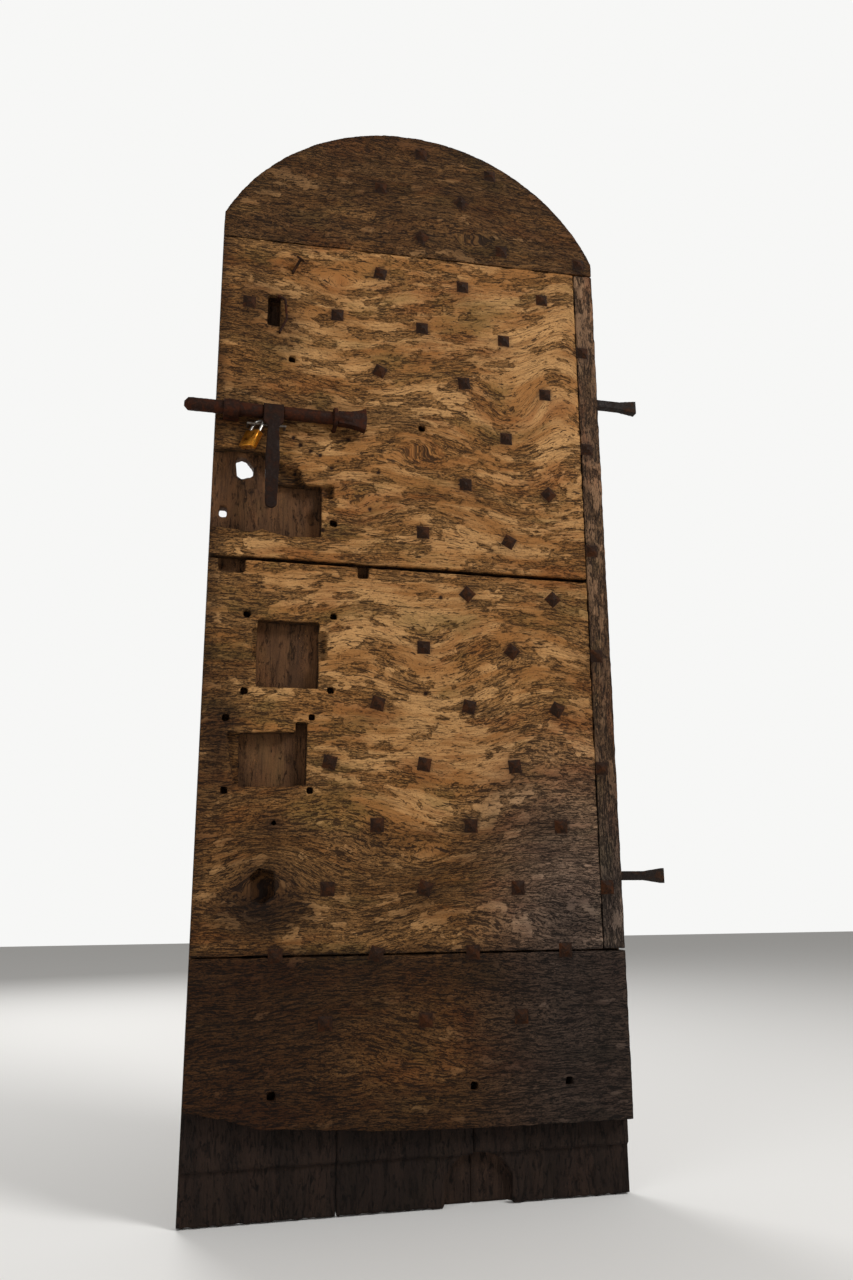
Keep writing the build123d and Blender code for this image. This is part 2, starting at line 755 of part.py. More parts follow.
nodes = {
    "head_board": cut_all(head_board(), cutters),
    "upper_board": cut_all(upper_board(), cutters),
    "lower_board": cut_all(lower_board(), cutters),
    "bottom_board": cut_all(bottom_board(), cutters),
    "edge_strip": cut_all(edge_strip(), cutters),
    "closing_plank": cut_all(plank(-past, -past, closing_joint_foot - half_gap,
                                   closing_joint_head - half_gap), cutters),
    "middle_plank": cut_all(plank(closing_joint_foot + half_gap, closing_joint_head + half_gap,
                                  hinge_joint_foot - half_gap, hinge_joint_head - half_gap), cutters),
    "hinge_plank": cut_all(plank(hinge_joint_foot + half_gap, hinge_joint_head + half_gap,
                                 leaf_width + past, leaf_width + past), cutters),
    "head_board_nails": nail_group(head_nails),
    "upper_board_nails": nail_group(upper_nails),
    "lower_board_nails": nail_group(lower_nails),
    "lower_seam_nails": nail_group(seam_nails),
    "bottom_board_nails": nail_group(bottom_nails),
    "edge_strip_nails": nail_group(strip_nails),
    "bent_nail": bent_nail(),
    "bent_rod": bent_rod(),
    "lower_strap": strap_hinge(strap_heights()[0]),
    "upper_strap": strap_hinge(strap_heights()[1]),
    "lower_strap_nails": strap_nails(strap_heights()[0]),
    "upper_strap_nails": strap_nails(strap_heights()[1]),
    "lower_pintle": pintle(strap_heights()[0]),
    "upper_pintle": pintle(strap_heights()[1]),
    "bolt": bolt(),
    "broad_guide": guide_band(broad_guide_at, broad_guide_width, broad_guide_wall),
    "narrow_guide": guide_band(narrow_guide_at(), narrow_guide_width, narrow_guide_wall),
    "hasp": hasp(),
    "padlock_staple": padlock_staple(),
    "padlock_shackle": padlock_shackle(),
    "padlock_body": padlock_body(),
    "padlock_plug": padlock_plug(),
}

os.makedirs("parts", exist_ok=True)
for name, solid in nodes.items():
    export_step(solid, f"parts/{name}.step")
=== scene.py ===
from math import atan2, pi, radians

import bmesh
import bpy
import numpy as np
from mathutils import Matrix, Vector
from mathutils.kdtree import KDTree


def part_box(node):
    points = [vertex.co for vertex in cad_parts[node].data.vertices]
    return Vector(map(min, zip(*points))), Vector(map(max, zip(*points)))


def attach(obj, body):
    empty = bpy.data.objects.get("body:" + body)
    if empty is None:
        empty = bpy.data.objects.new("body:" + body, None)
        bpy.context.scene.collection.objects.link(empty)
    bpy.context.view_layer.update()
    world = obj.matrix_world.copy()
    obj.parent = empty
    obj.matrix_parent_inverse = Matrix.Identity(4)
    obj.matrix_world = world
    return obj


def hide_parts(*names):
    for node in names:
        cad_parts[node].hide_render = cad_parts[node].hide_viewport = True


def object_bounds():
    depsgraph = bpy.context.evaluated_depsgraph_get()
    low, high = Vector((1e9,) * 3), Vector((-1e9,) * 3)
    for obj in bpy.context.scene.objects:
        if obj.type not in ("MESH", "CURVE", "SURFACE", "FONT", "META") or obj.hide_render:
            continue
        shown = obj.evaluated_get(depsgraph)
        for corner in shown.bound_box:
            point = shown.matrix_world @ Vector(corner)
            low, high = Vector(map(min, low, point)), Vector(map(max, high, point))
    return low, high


# An old arched oak door leaf: weathered level boards over upright planks, studded with square
# nails, with strap hinges behind, and a bolt, a hasp and a brass padlock in front.
# Metres. The front of the leaf looks along -Y and its closing edge is towards -X.

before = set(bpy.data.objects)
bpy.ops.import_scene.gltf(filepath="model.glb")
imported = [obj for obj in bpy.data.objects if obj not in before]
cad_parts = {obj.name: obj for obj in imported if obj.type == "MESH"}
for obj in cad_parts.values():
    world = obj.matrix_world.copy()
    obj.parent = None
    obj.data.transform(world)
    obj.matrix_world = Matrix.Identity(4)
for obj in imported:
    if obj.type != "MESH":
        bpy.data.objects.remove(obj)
cad_low, cad_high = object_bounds()
MM = 0.001


# The leaf's own measure: distance from the closing edge and height above the foot, in millimetres
foot_low, foot_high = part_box("middle_plank")
closing_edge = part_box("closing_plank")[0].x
leaf_foot = foot_low.z
leaf_height = (foot_high.z - foot_low.z) / MM
leaf_width = (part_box("hinge_plank")[1].x - closing_edge) / MM
front_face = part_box("upper_board")[0].y
plank_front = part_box("upper_board")[1].y
back_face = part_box("middle_plank")[1].y


# Camera: low, a little left of the leaf, looking up and to the right. Turns in degrees
camera_place = Vector((-0.8337, -1.8996, -0.0287))
camera_yaw = 13.65
camera_pitch = 13.83
camera_roll = -0.34
camera_lens = 28.21
sensor_height = 36.0


def make_camera():
    data = bpy.data.cameras.new("camera")
    data.sensor_fit = "VERTICAL"
    data.sensor_height = sensor_height
    data.lens = camera_lens
    camera = linked("camera", data)
    yaw = Matrix.Rotation(-radians(camera_yaw), 4, "Z")
    pitch = Matrix.Rotation(pi / 2 + radians(camera_pitch), 4, "X")
    roll = Matrix.Rotation(radians(camera_roll), 4, "Z")
    camera.matrix_world = Matrix.Translation(camera_place) @ yaw @ pitch @ roll
    bpy.context.scene.camera = camera


# Light and floor
floor_drop = 0.001
floor_reach = 9.0
floor_colour = (0.83, 0.82, 0.8, 1)
floor_roughness = 0.9
background_colour = (0.93, 0.93, 0.92, 1)
sky_colour = (1, 0.985, 0.96, 1)
sky_strength = 0.32
# Lights: name, place, what they aim at, size and power
lights = [
    ("key light", (2.2, -3.0, 3.2), (-0.4, 0, 0.5), 1.6, 150),
    ("left fill", (-3.4, -2.6, 1.2), (-0.4, 0, 0.4), 2.4, 30),
    ("back light", (-1.5, 3.5, 2.5), (-0.4, 0, 0.5), 2.4, 90),
]


def area_light(name, place, aim, size, power):
    data = bpy.data.lights.new(name, "AREA")
    data.shape = "DISK"
    data.size = size
    data.energy = power
    light = linked(name, data)
    light.location = place
    light.rotation_euler = (Vector(aim) - Vector(place)).to_track_quat("-Z", "Y").to_euler()


def make_world():
    world = bpy.data.worlds.new("studio")
    bpy.context.scene.world = world
    world.use_nodes = True
    world.node_tree.nodes.clear()
    tree = Tree(world.node_tree)
    soft = tree.node("ShaderNodeBackground", {"Color": sky_colour, "Strength": sky_strength}).outputs[0]
    seen = tree.node("ShaderNodeBackground", {"Color": background_colour}).outputs[0]
    by_camera = tree.node("ShaderNodeLightPath").outputs["Is Camera Ray"]
    mix = tree.node("ShaderNodeMixShader", {0: by_camera, 1: soft, 2: seen})
    tree.node("ShaderNodeOutputWorld", {"Surface": mix.outputs[0]})


def make_floor():
    low = cad_low.z - floor_drop
    mesh = bpy.data.meshes.new("floor")
    corners = [(-floor_reach, -floor_reach, low), (floor_reach, -floor_reach, low),
               (floor_reach, floor_reach, low), (-floor_reach, floor_reach, low)]
    mesh.from_pydata(corners, [], [(0, 1, 2, 3)])
    skin = bpy.data.materials.new("pale floor")
    skin.use_nodes = True
    shader = skin.node_tree.nodes["Principled BSDF"]
    shader.inputs["Base Color"].default_value = floor_colour
    shader.inputs["Roughness"].default_value = floor_roughness
    mesh.materials.append(skin)
    linked("floor", mesh)


# Smooth seeded noise for the shapes, between about -1 and 1
lattice_size = 256
lattice_shift = 97
noise_strength = 1.6
octave_step = 2.03
seeds = {"grain": 11, "board erosion": 31, "ripples": 35, "broad wear": 41, "rims": 51, "notches": 61,
         "plank sway": 71, "plank wear": 73, "plank erosion": 77, "dents": 91}


def lattice(seed):
    return np.random.default_rng(seed).permutation(lattice_size)


def drift(points, seed):
    """gradient noise at points given in cells"""
    table = lattice(seed)
    cell = np.floor(points).astype(int)
    part = points - cell
    ease = part * part * part * (part * (part * 6 - 15) + 10)
    total = np.zeros(len(points))
    for corner in range(8):
        step = np.array([corner & 1, corner >> 1 & 1, corner >> 2 & 1])
        at = (cell + step) % lattice_size
        mark = table[(table[at[:, 0]] + at[:, 1]) % lattice_size]
        mark = table[(mark + at[:, 2]) % lattice_size]
        tilt = mark / lattice_size * 2 * pi
        rise = table[(mark + lattice_shift) % lattice_size] / (lattice_size / 2) - 1
        level = np.sqrt(1 - rise * rise)
        away = part - step
        value = (away[:, 0] * np.cos(tilt) + away[:, 1] * np.sin(tilt)) * level + away[:, 2] * rise
        weight = np.prod(np.where(step, ease, 1 - ease), axis=1)
        total += weight * value
    return total * noise_strength


def roughened(points, seed, octaves, gain=0.5):
    """several sizes of noise added up"""
    total = np.zeros(len(points))
    strength = 1.0
    for octave in range(octaves):
        total += strength * drift(points * octave_step ** octave, seed + octave)
        strength *= gain
    return total


def smooth_step(low, high, value):
    """0 at low and 1 at high, with a soft start and end"""
    part = np.clip((value - low) / (high - low), 0, 1)
    return part * part * (3 - 2 * part)


# Meshes as arrays
same_place = 1e-6


def corners_of(mesh, key="co"):
    values = np.zeros(len(mesh.vertices) * 3, np.float32)
    mesh.vertices.foreach_get(key, values)
    return values.reshape(-1, 3).astype(float)


def normals_of(mesh):
    return corners_of(mesh, "normal")


def set_corners(mesh, points):
    mesh.vertices.foreach_set("co", points.astype(np.float32).ravel())
    mesh.update()


def set_number(mesh, name, values):
    attribute = mesh.attributes.new(name, "FLOAT", "POINT")
    attribute.data.foreach_set("value", values.astype(np.float32))


def set_vector(mesh, name, values):
    attribute = mesh.attributes.new(name, "FLOAT_VECTOR", "POINT")
    attribute.data.foreach_set("vector", values.astype(np.float32).ravel())


def merged_copy(node):
    """the node's solid with its corners joined up"""
    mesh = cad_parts[node].data.copy()
    mesh.materials.clear()
    shape = bmesh.new()
    shape.from_mesh(mesh)
    bmesh.ops.remove_doubles(shape, verts=shape.verts, dist=same_place)
    shape.to_mesh(mesh)
    shape.free()
    return mesh


def linked(name, mesh):
    thing = bpy.data.objects.new(name, mesh)
    bpy.context.scene.collection.objects.link(thing)
    return thing


def plain_mesh(thing):
    """the object's mesh with its modifiers applied"""
    graph = bpy.context.evaluated_depsgraph_get()
    mesh = bpy.data.meshes.new_from_object(thing.evaluated_get(graph))
    thing.modifiers.clear()
    thing.data = mesh
    return mesh


def modify(thing, name, kind, **settings):
    modifier = thing.modifiers.new(name, kind)
    for key, value in settings.items():
        setattr(modifier, key, value)
    return modifier


def even_copy(node, cell, name):
    """the node's solid again, in small even faces"""
    thing = linked(name, merged_copy(node))
    model = linked(name + "_model", merged_copy(node))
    modify(thing, "even faces", "REMESH", mode="VOXEL", voxel_size=cell * MM)
    modify(thing, "back on the faces", "SHRINKWRAP", target=model)
    plain_mesh(thing)
    bpy.data.objects.remove(model)
    return thing


def seat(piece, nodes, body):
    """the piece on its body, in place of the nodes that it stands for"""
    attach(piece, body)
    for node in nodes:
        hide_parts(node)


def finished(piece, node, body, finish):
    piece.data.materials.append(finish)
    piece.data.shade_smooth()
    seat(piece, [node], body)


def close_hidden_side(thing, level, slack):
    """swap the small faces on the hidden contact plane for a few large ones"""
    shape = bmesh.new()
    shape.from_mesh(thing.data)
    hidden = [face for face in shape.faces
              if all(abs(corner.co.y - level) < slack for corner in face.verts)]
    bmesh.ops.delete(shape, geom=hidden, context="FACES")
    rim = [edge for edge in shape.edges if edge.is_boundary]
    bmesh.ops.triangle_fill(shape, edges=rim, use_beauty=True, normal=(0, 1, 0))
    bmesh.ops.recalc_face_normals(shape, faces=shape.faces)
    shape.to_mesh(thing.data)
    shape.free()


def loose_parts(mesh):
    """the corners of each separate solid of a mesh"""
    shape = bmesh.new()
    shape.from_mesh(mesh)
    shape.verts.ensure_lookup_table()
    seen = set()
    parts = []
    for start in shape.verts:
        if start.index in seen:
            continue
        seen.add(start.index)
        queue = [start]
        part = []
        while queue:
            corner = queue.pop()
            part.append(corner.co.copy())
            for edge in corner.link_edges:
                other = edge.other_vert(corner)
                if other.index not in seen:
                    seen.add(other.index)
                    queue.append(other)
        parts.append(part)
    shape.free()
    return parts


# Nail places, read from the nails themselves
nail_nodes = ["head_board_nails", "upper_board_nails", "lower_board_nails", "lower_seam_nails",
              "bottom_board_nails", "edge_strip_nails"]
on_face = 1e-5


def nail_list():
    """centre and turn of every head on the front"""
    nails = []
    for node in nail_nodes:
        for part in loose_parts(merged_copy(node)):
            rim = [corner for corner in part if abs(corner.y - front_face) < on_face]
            middle = sum(rim, Vector()) / len(rim)
            far = max(rim, key=lambda corner: (corner - middle).length)
            turn = atan2(far.z - middle.z, far.x - middle.x) - pi / 4
            nails.append((Vector((middle.x, front_face, middle.z)), turn))
    return nails


nails = nail_list()
nail_points = np.array([[place.x, place.z] for place, turn in nails])


# Node trees, written as sums
class Tree:
    """a node tree, with short ways to add its nodes"""

    def __init__(self, tree):
        self.tree = tree

    def put(self, socket, value):
        if isinstance(value, bpy.types.NodeSocket):
            self.tree.links.new(value, socket)
        else:
            socket.default_value = value

    def node(self, kind, values=(), **settings):
        made = self.tree.nodes.new(kind)
        for key, value in settings.items():
            setattr(made, key, value)
        for key, value in dict(values).items():
            self.put(made.inputs[key], value)
        return made

    def math(self, operation, first, second=0.0, third=0.0, clamp=False):
        made = self.node("ShaderNodeMath", {0: first, 1: second, 2: third}, operation=operation)
        made.use_clamp = clamp
        return made.outputs[0]


class Graph(Tree):
    """a material's node tree"""

    def __init__(self, name):
        self.material = bpy.data.materials.new(name)
        self.material.use_nodes = True
        super().__init__(self.material.node_tree)
        self.shader = self.tree.nodes["Principled BSDF"]

    def attribute(self, name, output="Vector"):
        return self.node("ShaderNodeAttribute", attribute_name=name).outputs[output]

    def place(self):
        return self.node("ShaderNodeTexCoord").outputs["Object"]

    def noise(self, vector, scale=1.0, detail=4.0, roughness=0.55, distortion=0.0):
        values = {"Vector": vector, "Scale": scale, "Detail": detail, "Roughness": roughness,
                  "Distortion": distortion}
        return self.node("ShaderNodeTexNoise", values).outputs["Fac"]

    def figure(self, vector, cells, shift=(0, 0, 0), detail=4.0, roughness=0.55, distortion=0.0):
        """noise with its own number of cells a metre along each axis"""
        values = {"Vector": vector, "Scale": cells, "Location": shift}
        stretched = self.node("ShaderNodeMapping", values).outputs[0]
        return self.noise(stretched, 1.0, detail, roughness, distortion)

    def between(self, value, low, high, to_low=0.0, to_high=1.0):
        values = {"Value": value, "From Min": low, "From Max": high, "To Min": to_low, "To Max": to_high}
        return self.node("ShaderNodeMapRange", values, interpolation_type="SMOOTHSTEP").outputs["Result"]

    def mix(self, share, first, second, blend="MIX"):
        made = self.node("ShaderNodeMix", data_type="RGBA", blend_type=blend)
        self.put(made.inputs["Factor"], share)
        self.put(made.inputs[6], first)
        self.put(made.inputs[7], second)
        return made.outputs[2]

    def split(self, vector):
        return self.node("ShaderNodeSeparateXYZ", {0: vector}).outputs

    def bump(self, height, distance, strength=1.0, below=None):
        values = {"Height": height, "Distance": distance, "Strength": strength}
        if below is not None:
            values["Normal"] = below
        return self.node("ShaderNodeBump", values).outputs[0]

    def finish(self, **inputs):
        for key, value in inputs.items():
            self.put(self.shader.inputs[key.replace("_", " ")], value)
        return self.material


def colour(red, green, blue):
    """a colour given as it looks on a screen, from 0 to 255"""
    def linear(part):
        part = part / 255
        return part / 12.92 if part <= 0.04045 else ((part + 0.055) / 1.055) ** 2.4
    return (linear(red), linear(green), linear(blue), 1)


# Weathered oak. "grain" holds the place in the wood: along, across and into the grain.
# "tone" holds dirt together with painted shade, bleached surface left whole, and rust stain; "worn" holds the
# erosion.
# Figures: cells a metre along, across and into the grain, shift, detail, roughness and distortion
wave_figure = ((8, 24, 24), (0, 0, 0), 3.0, 0.5)
patch_figure = ((38, 150, 80), (0, 0, 0), 7.0, 0.68, 0.9)
border_figure = ((60, 90, 60), (5, 5, 5), 2.0)
stroke_figure = ((36, 280, 110), (3, 1, 7), 3.0, 0.6, 1.1)
short_stroke_figure = ((90, 420, 200), (7, 2, 1), 3.0, 0.6, 1.2)
ridge_figure = ((26, 460, 160), (1, 2, 3), 4.0, 0.6, 0.3)
crumb_figure = ((240, 460, 300), (1, 5, 2), 3.0, 0.7)
broad_figure = ((5, 26, 20), (2, 8, 3), 5.0, 0.6, 0.3)
line_figure = ((14, 300, 120), (4, 4, 4), 4.0, 0.6, 0.4)
speck_figure = ((420, 700, 500), (3, 3, 3), 2.0, 0.6, 0.8)
crowd_figure = ((11, 22, 20), (5, 9, 1), 4.0, 0.6)
rust_figure = ((18, 34, 30), (8, 8, 8), 5.0, 0.65)
soot_figure = ((9, 26, 20), (4, 3, 2), 6.0, 0.66)
# Where a figure begins and ends to show, with its least and most where they aren't 0 and 1
patch_range = (0.34, 0.62)
border_range = (0.42, 0.6)
rim_range = (0.09, 0.01)
gouge_range = (0.02, -0.03)
broad_range = (0.38, 0.6)
line_range = (0.5, 0.34, 0, 0.5)
ridge_range = (0.74, 0.98)
crumb_range = (0.45, 0.3, 0, 0.5)
crowd_range = (0.4, 0.62)
light_speck_range, dark_speck_range = (0.62, 0.7), (0.37, 0.3)
rust_range = (0.2, 0.55)
soil_and_shade_range = (0.5, 1.0)
# How much one figure counts in another
wave_reach = 0.012
patch_ragged = 2.7
rim_level, rim_dark = 0.47, 0.8
stroke_more, short_stroke_more = 0.06, 0.075
short_stroke_less, short_stroke_dark = 0.01, 0.85
crumbs_in_ridges, ridges_in_wood = 0.7, 0.68
stroke_dark = 0.88
dirt_and_shade_in_soil, soil_and_shade_least, soil_and_shade_more = 0.62, 0.2, 0.8
grey_saturation = 0.5
stroke_relief, ridge_relief, eroded_relief = -1.1, 0.7, -0.45
crumb_relief, crumb_relief_more = 0.12, 0.4
oak_relief_depth = 0.003
oak_roughness, oak_roughness_more, oak_sheen = 0.74, 0.12, 0.18
# Reddish and mossy clouds: figure, where it shows, its most, and its colour
clouds = [(((5, 15, 10), (6, 2, 9), 5.0, 0.62), (0.5, 0.68), 0.6, (132, 76, 32)),
          (((6, 14, 10), (1, 7, 5), 4.0, 0.6), (0.52, 0.7), 0.5, (108, 88, 44))]
speck_brown = (150, 96, 34)
rust_brown = (44, 25, 13)


def wavy(graph, grain):
    """the place in the wood, drawn a little to and fro across the grain"""
    wave = graph.figure(grain, *wave_figure)
    shift = graph.node("ShaderNodeCombineXYZ", {1: graph.math("MULTIPLY", wave, wave_reach)}).outputs[0]
    return graph.node("ShaderNodeVectorMath", {0: grain, 1: shift}, operation="ADD").outputs[0]


def eroded_level(graph, bent, worn):
    """the erosion with ragged borders to its patches"""
    patch = graph.figure(bent, *patch_figure)
    return graph.math("MULTIPLY_ADD", graph.math("SUBTRACT", patch, 0.5), patch_ragged, worn)


def gouged(graph, strokes, reach, most=1.0):
    """where the strokes are cut in"""
    return graph.between(graph.math("SUBTRACT", strokes, reach), *gouge_range, 0, most)


def strokes_of(graph, bent, level, eroded, stroke_share):
    """short strokes gouged out of the wood, and the dark rims of its eroded patches"""
    broken = graph.between(graph.figure(bent, *border_figure), *border_range)
    rim = graph.between(graph.math("ABSOLUTE", graph.math("SUBTRACT", level, rim_level)), *rim_range)
    rim = graph.math("MULTIPLY", rim, broken)
    long = graph.figure(bent, *stroke_figure)
    cut = gouged(graph, long, graph.math("MULTIPLY_ADD", eroded, stroke_more, stroke_share))
    short = graph.figure(bent, *short_stroke_figure)
    reach = graph.math("MULTIPLY_ADD", eroded, short_stroke_more, stroke_share - short_stroke_less)
    cut = graph.math("MAXIMUM", cut, gouged(graph, short, reach, short_stroke_dark))
    return graph.math("MAXIMUM", cut, graph.math("MULTIPLY", rim, rim_dark))


def wood_tint(graph, bent, eroded, ridges, crumbs, pale, body, ridge, dark):
    """the smooth surface in broad pale and brown bands with dark lines, and the ridged eroded wood"""
    broad = graph.figure(bent, *broad_figure)
    smooth = graph.mix(graph.between(broad, *broad_range), body, pale)
    lines = graph.figure(bent, *line_figure)
    smooth = graph.mix(graph.between(lines, *line_range), smooth, dark)
    high = graph.math("MULTIPLY_ADD", crumbs, crumbs_in_ridges, ridges)
    rough = graph.mix(graph.between(high, *ridge_range), dark, ridge)
    return graph.mix(graph.math("MULTIPLY", eroded, ridges_in_wood), smooth, rough)


def tinted(graph, grain, tint, crumbs, groove, tint_share):
    """reddish and mossy clouds, dark crumbs and swarms of small specks over the wood"""
    for figure, shown, most, brown in clouds:
        cloud = graph.between(graph.figure(grain, *figure), *shown, 0, most * tint_share)
        tint = graph.mix(cloud, tint, colour(*brown))
    tint = graph.mix(graph.between(crumbs, *crumb_range), tint, groove)
    specks = graph.figure(grain, *speck_figure)
    crowd = graph.between(graph.figure(grain, *crowd_figure), *crowd_range)
    light = graph.math("MULTIPLY", graph.between(specks, *light_speck_range), crowd)
    tint = graph.mix(light, tint, colour(*speck_brown))
    return graph.mix(graph.math("MULTIPLY", graph.between(specks, *dark_speck_range), crowd), tint, groove)


def stained(graph, grain, tint, dirt_and_shade, rust, dirt_and_shade_colour):
    """rust round the nails, dirt and painted shade darkening the wood, and the wood weathered grey"""
    spread = graph.between(graph.figure(grain, *rust_figure), *rust_range)
    rusted = graph.math("MULTIPLY", rust, spread, clamp=True)
    tint = graph.mix(rusted, tint, colour(*rust_brown))
    soot = graph.figure(grain, *soot_figure)
    # the dirt value darkens the wood both for dirt and for painted shade
    soil_and_shade = graph.between(graph.math("MULTIPLY_ADD", dirt_and_shade, dirt_and_shade_in_soil, soot), *soil_and_shade_range)
    share = graph.math("MULTIPLY", soil_and_shade, graph.math("MULTIPLY_ADD", dirt_and_shade, soil_and_shade_more, soil_and_shade_least))
    tint = graph.mix(share, tint, graph.mix(1.0, tint, dirt_and_shade_colour, blend="MULTIPLY"))
    faded = graph.node("ShaderNodeHueSaturation", {"Saturation": grey_saturation, "Color": tint})
    return graph.mix(graph.attribute("grey", "Fac"), tint, faded.outputs[0])


def oak_relief(graph, cut, ridges, crumbs, eroded):
    relief = graph.math("MULTIPLY_ADD", cut, stroke_relief, graph.math("MULTIPLY", ridges, ridge_relief))
    crumbly = graph.math("MULTIPLY_ADD", eroded, crumb_relief_more, crumb_relief)
    relief = graph.math("MULTIPLY_ADD", crumbs, crumbly, relief)
    return graph.math("MULTIPLY_ADD", eroded, eroded_relief, relief)


def oak(name, pale, body, ridge, dark, groove, dirt_and_shade_colour, stroke_share=0.375, tint_share=1.0):
    graph = Graph(name)
    grain = graph.attribute("grain")
    tone = graph.split(graph.attribute("tone"))
    dirt_and_shade, rust = tone["X"], tone["Z"]
    bent = wavy(graph, grain)
    level = eroded_level(graph, bent, graph.attribute("worn", "Fac"))
    eroded = graph.between(level, *patch_range)
    cut = strokes_of(graph, bent, level, eroded, stroke_share)
    ridges = graph.figure(bent, *ridge_figure)
    crumbs = graph.figure(grain, *crumb_figure)
    tint = wood_tint(graph, bent, eroded, ridges, crumbs, pale, body, ridge, dark)
    tint = tinted(graph, grain, tint, crumbs, groove, tint_share)
    tint = graph.mix(graph.math("MULTIPLY", cut, stroke_dark), tint, groove)
    tint = stained(graph, grain, tint, dirt_and_shade, rust, dirt_and_shade_colour)
    surface = graph.bump(oak_relief(graph, cut, ridges, crumbs, eroded), oak_relief_depth)
    gloss = graph.math("MULTIPLY_ADD", eroded, oak_roughness_more, oak_roughness)
    return graph.finish(Base_Color=tint, Roughness=gloss, Normal=surface, Specular_IOR_Level=oak_sheen)


# Iron and bright metal. Figures: cells a metre, detail and roughness
pit_figure = (260.0, 6.0, 0.65)
rust_patch_figure = (60.0, 5.0, 0.6)
hammer_figure = (90.0, 2.0, 0.5)
smear_figure = (120.0, 4.0, 0.6)
high_spot_range = (0.56, 0.72, 0, 0.6)
pit_range = (0.44, 0.3, 0, 0.7)
pit_black = (14, 9, 6)
rust_border = 0.2
hammer_relief, pit_relief = 1.6, 0.8
iron_relief = (0.0012, 0.9)
iron_roughness, iron_sheen = (0.35, 0.65, 0.55, 0.85), 0.12
smear_range = (0.45, 0.7, 0, 0.8)
smear_roughness_range, smear_roughness = (0.35, 0.7), 0.25
line_detail, line_rough, line_roughness = 4.0, 0.6, 0.08
line_relief = (0.00015, 0.5)


def rusty_iron(name, base, rust, worn, rust_share):
    """hammered iron with rust in patches, worn high spots and black pits"""
    graph = Graph(name)
    place = graph.place()
    pits = graph.noise(place, *pit_figure)
    patches = graph.noise(place, *rust_patch_figure)
    hammered = graph.noise(place, *hammer_figure)
    tint = graph.mix(graph.between(patches, rust_share, rust_share + rust_border), base, rust)
    tint = graph.mix(graph.between(pits, *high_spot_range), tint, worn)
    tint = graph.mix(graph.between(pits, *pit_range), tint, colour(*pit_black))
    height = graph.math("MULTIPLY_ADD", hammered, hammer_relief, graph.math("MULTIPLY", pits, pit_relief))
    gloss = graph.between(patches, *iron_roughness)
    surface = graph.bump(height, *iron_relief)
    return graph.finish(Base_Color=tint, Roughness=gloss, Normal=surface, Specular_IOR_Level=iron_sheen)


def bright_metal(name, base, dull, roughness, stretch):
    """handled metal with fine lines and dull smears"""
    graph = Graph(name)
    place = graph.place()
    lines = graph.figure(place, stretch, detail=line_detail, roughness=line_rough)
    smears = graph.noise(place, *smear_figure)
    tint = graph.mix(graph.between(smears, *smear_range), base, dull)
    smeared = graph.between(smears, *smear_roughness_range, roughness, roughness + smear_roughness)
    gloss = graph.math("ADD", smeared, graph.math("MULTIPLY", lines, line_roughness))
    surface = graph.bump(lines, *line_relief)
    return graph.finish(Base_Color=tint, Roughness=gloss, Metallic=1.0, Normal=surface)


oak_front = oak("weathered oak boards", colour(188, 141, 88), colour(150, 100, 50), colour(160, 113, 62),
                colour(96, 63, 30), colour(44, 26, 11), (0.15, 0.125, 0.12, 1))
oak_strip = oak("weathered oak strip", colour(132, 96, 62), colour(104, 73, 45), colour(112, 80, 50),
                colour(58, 39, 23), colour(30, 19, 11), (0.3, 0.27, 0.27, 1), 0.4)
oak_back = oak("aged oak planks", colour(104, 68, 36), colour(80, 51, 26), colour(88, 58, 32),
               colour(50, 31, 15), colour(24, 15, 8), (0.16, 0.14, 0.135, 1), 0.3, 0.35)
nail_iron = rusty_iron("rusted nail iron", colour(38, 22, 12), colour(62, 34, 16), colour(84, 52, 28), 0.44)
hinge_iron = rusty_iron("dark hinge iron", colour(34, 27, 23), colour(58, 36, 22), colour(74, 58, 46), 0.52)
bolt_iron = rusty_iron("red brown bolt iron", colour(36, 17, 8), colour(58, 27, 12), colour(80, 44, 24), 0.42)
hasp_iron = rusty_iron("dark hasp iron", colour(30, 17, 11), colour(46, 25, 15), colour(62, 40, 27), 0.5)
steel = bright_metal("bright steel", colour(210, 206, 200), colour(128, 120, 112), 0.2, (300, 300, 300))
worn_steel = bright_metal("worn steel", colour(120, 112, 104), colour(62, 48, 38), 0.34, (300, 300, 300))
brass = bright_metal("tarnished brass", colour(224, 150, 52), colour(150, 80, 24), 0.22, (400, 400, 60))


# Grain of the boards. A swell lifts the grain lines: (distance, height, half width, half height, lift)
grain_swells = [
    (350, 1420, 60, 40, 30), (300, 1480, 90, 50, -20), (560, 1560, 120, 70, 26), (640, 1300, 110, 60, -28),
    (460, 1250, 90, 45, 24), (200, 1600, 80, 60, -18), (620, 1760, 90, 50, 22), (300, 1750, 110, 60, -18),
    (330, 1040, 90, 60, 28), (598, 1030, 110, 70, 40), (415, 1000, 60, 50, -20), (470, 900, 110, 50, -34),
    (650, 880, 90, 80, 34), (250, 700, 120, 60, 28), (500, 640, 120, 60, -30), (640, 560, 120, 60, 28),
    (330, 540, 90, 50, -24), (150, 560, 60, 40, 26), (300, 300, 160, 60, 26), (560, 260, 140, 60, -24),
    (420, 1960, 140, 60, 30), (440, 500, 110, 40, 34), (738, 1750, 50, 90, 56), (600, 1480, 60, 80, -42),
    (710, 1560, 60, 90, 44),
]
# Knots, which the grain flows round, as (distance, height, half width, half height)
knots = [(408, 1399, 24, 16), (285, 1285, 24, 18), (118, 548, 34, 26), (420, 600, 20, 14),
         (520, 1905, 22, 14), (236, 1760, 16, 12)]


grain_sway, grain_sway_size = 9.0, (240, 120)
knot_spread = 2.2
knot_pull = 0.85


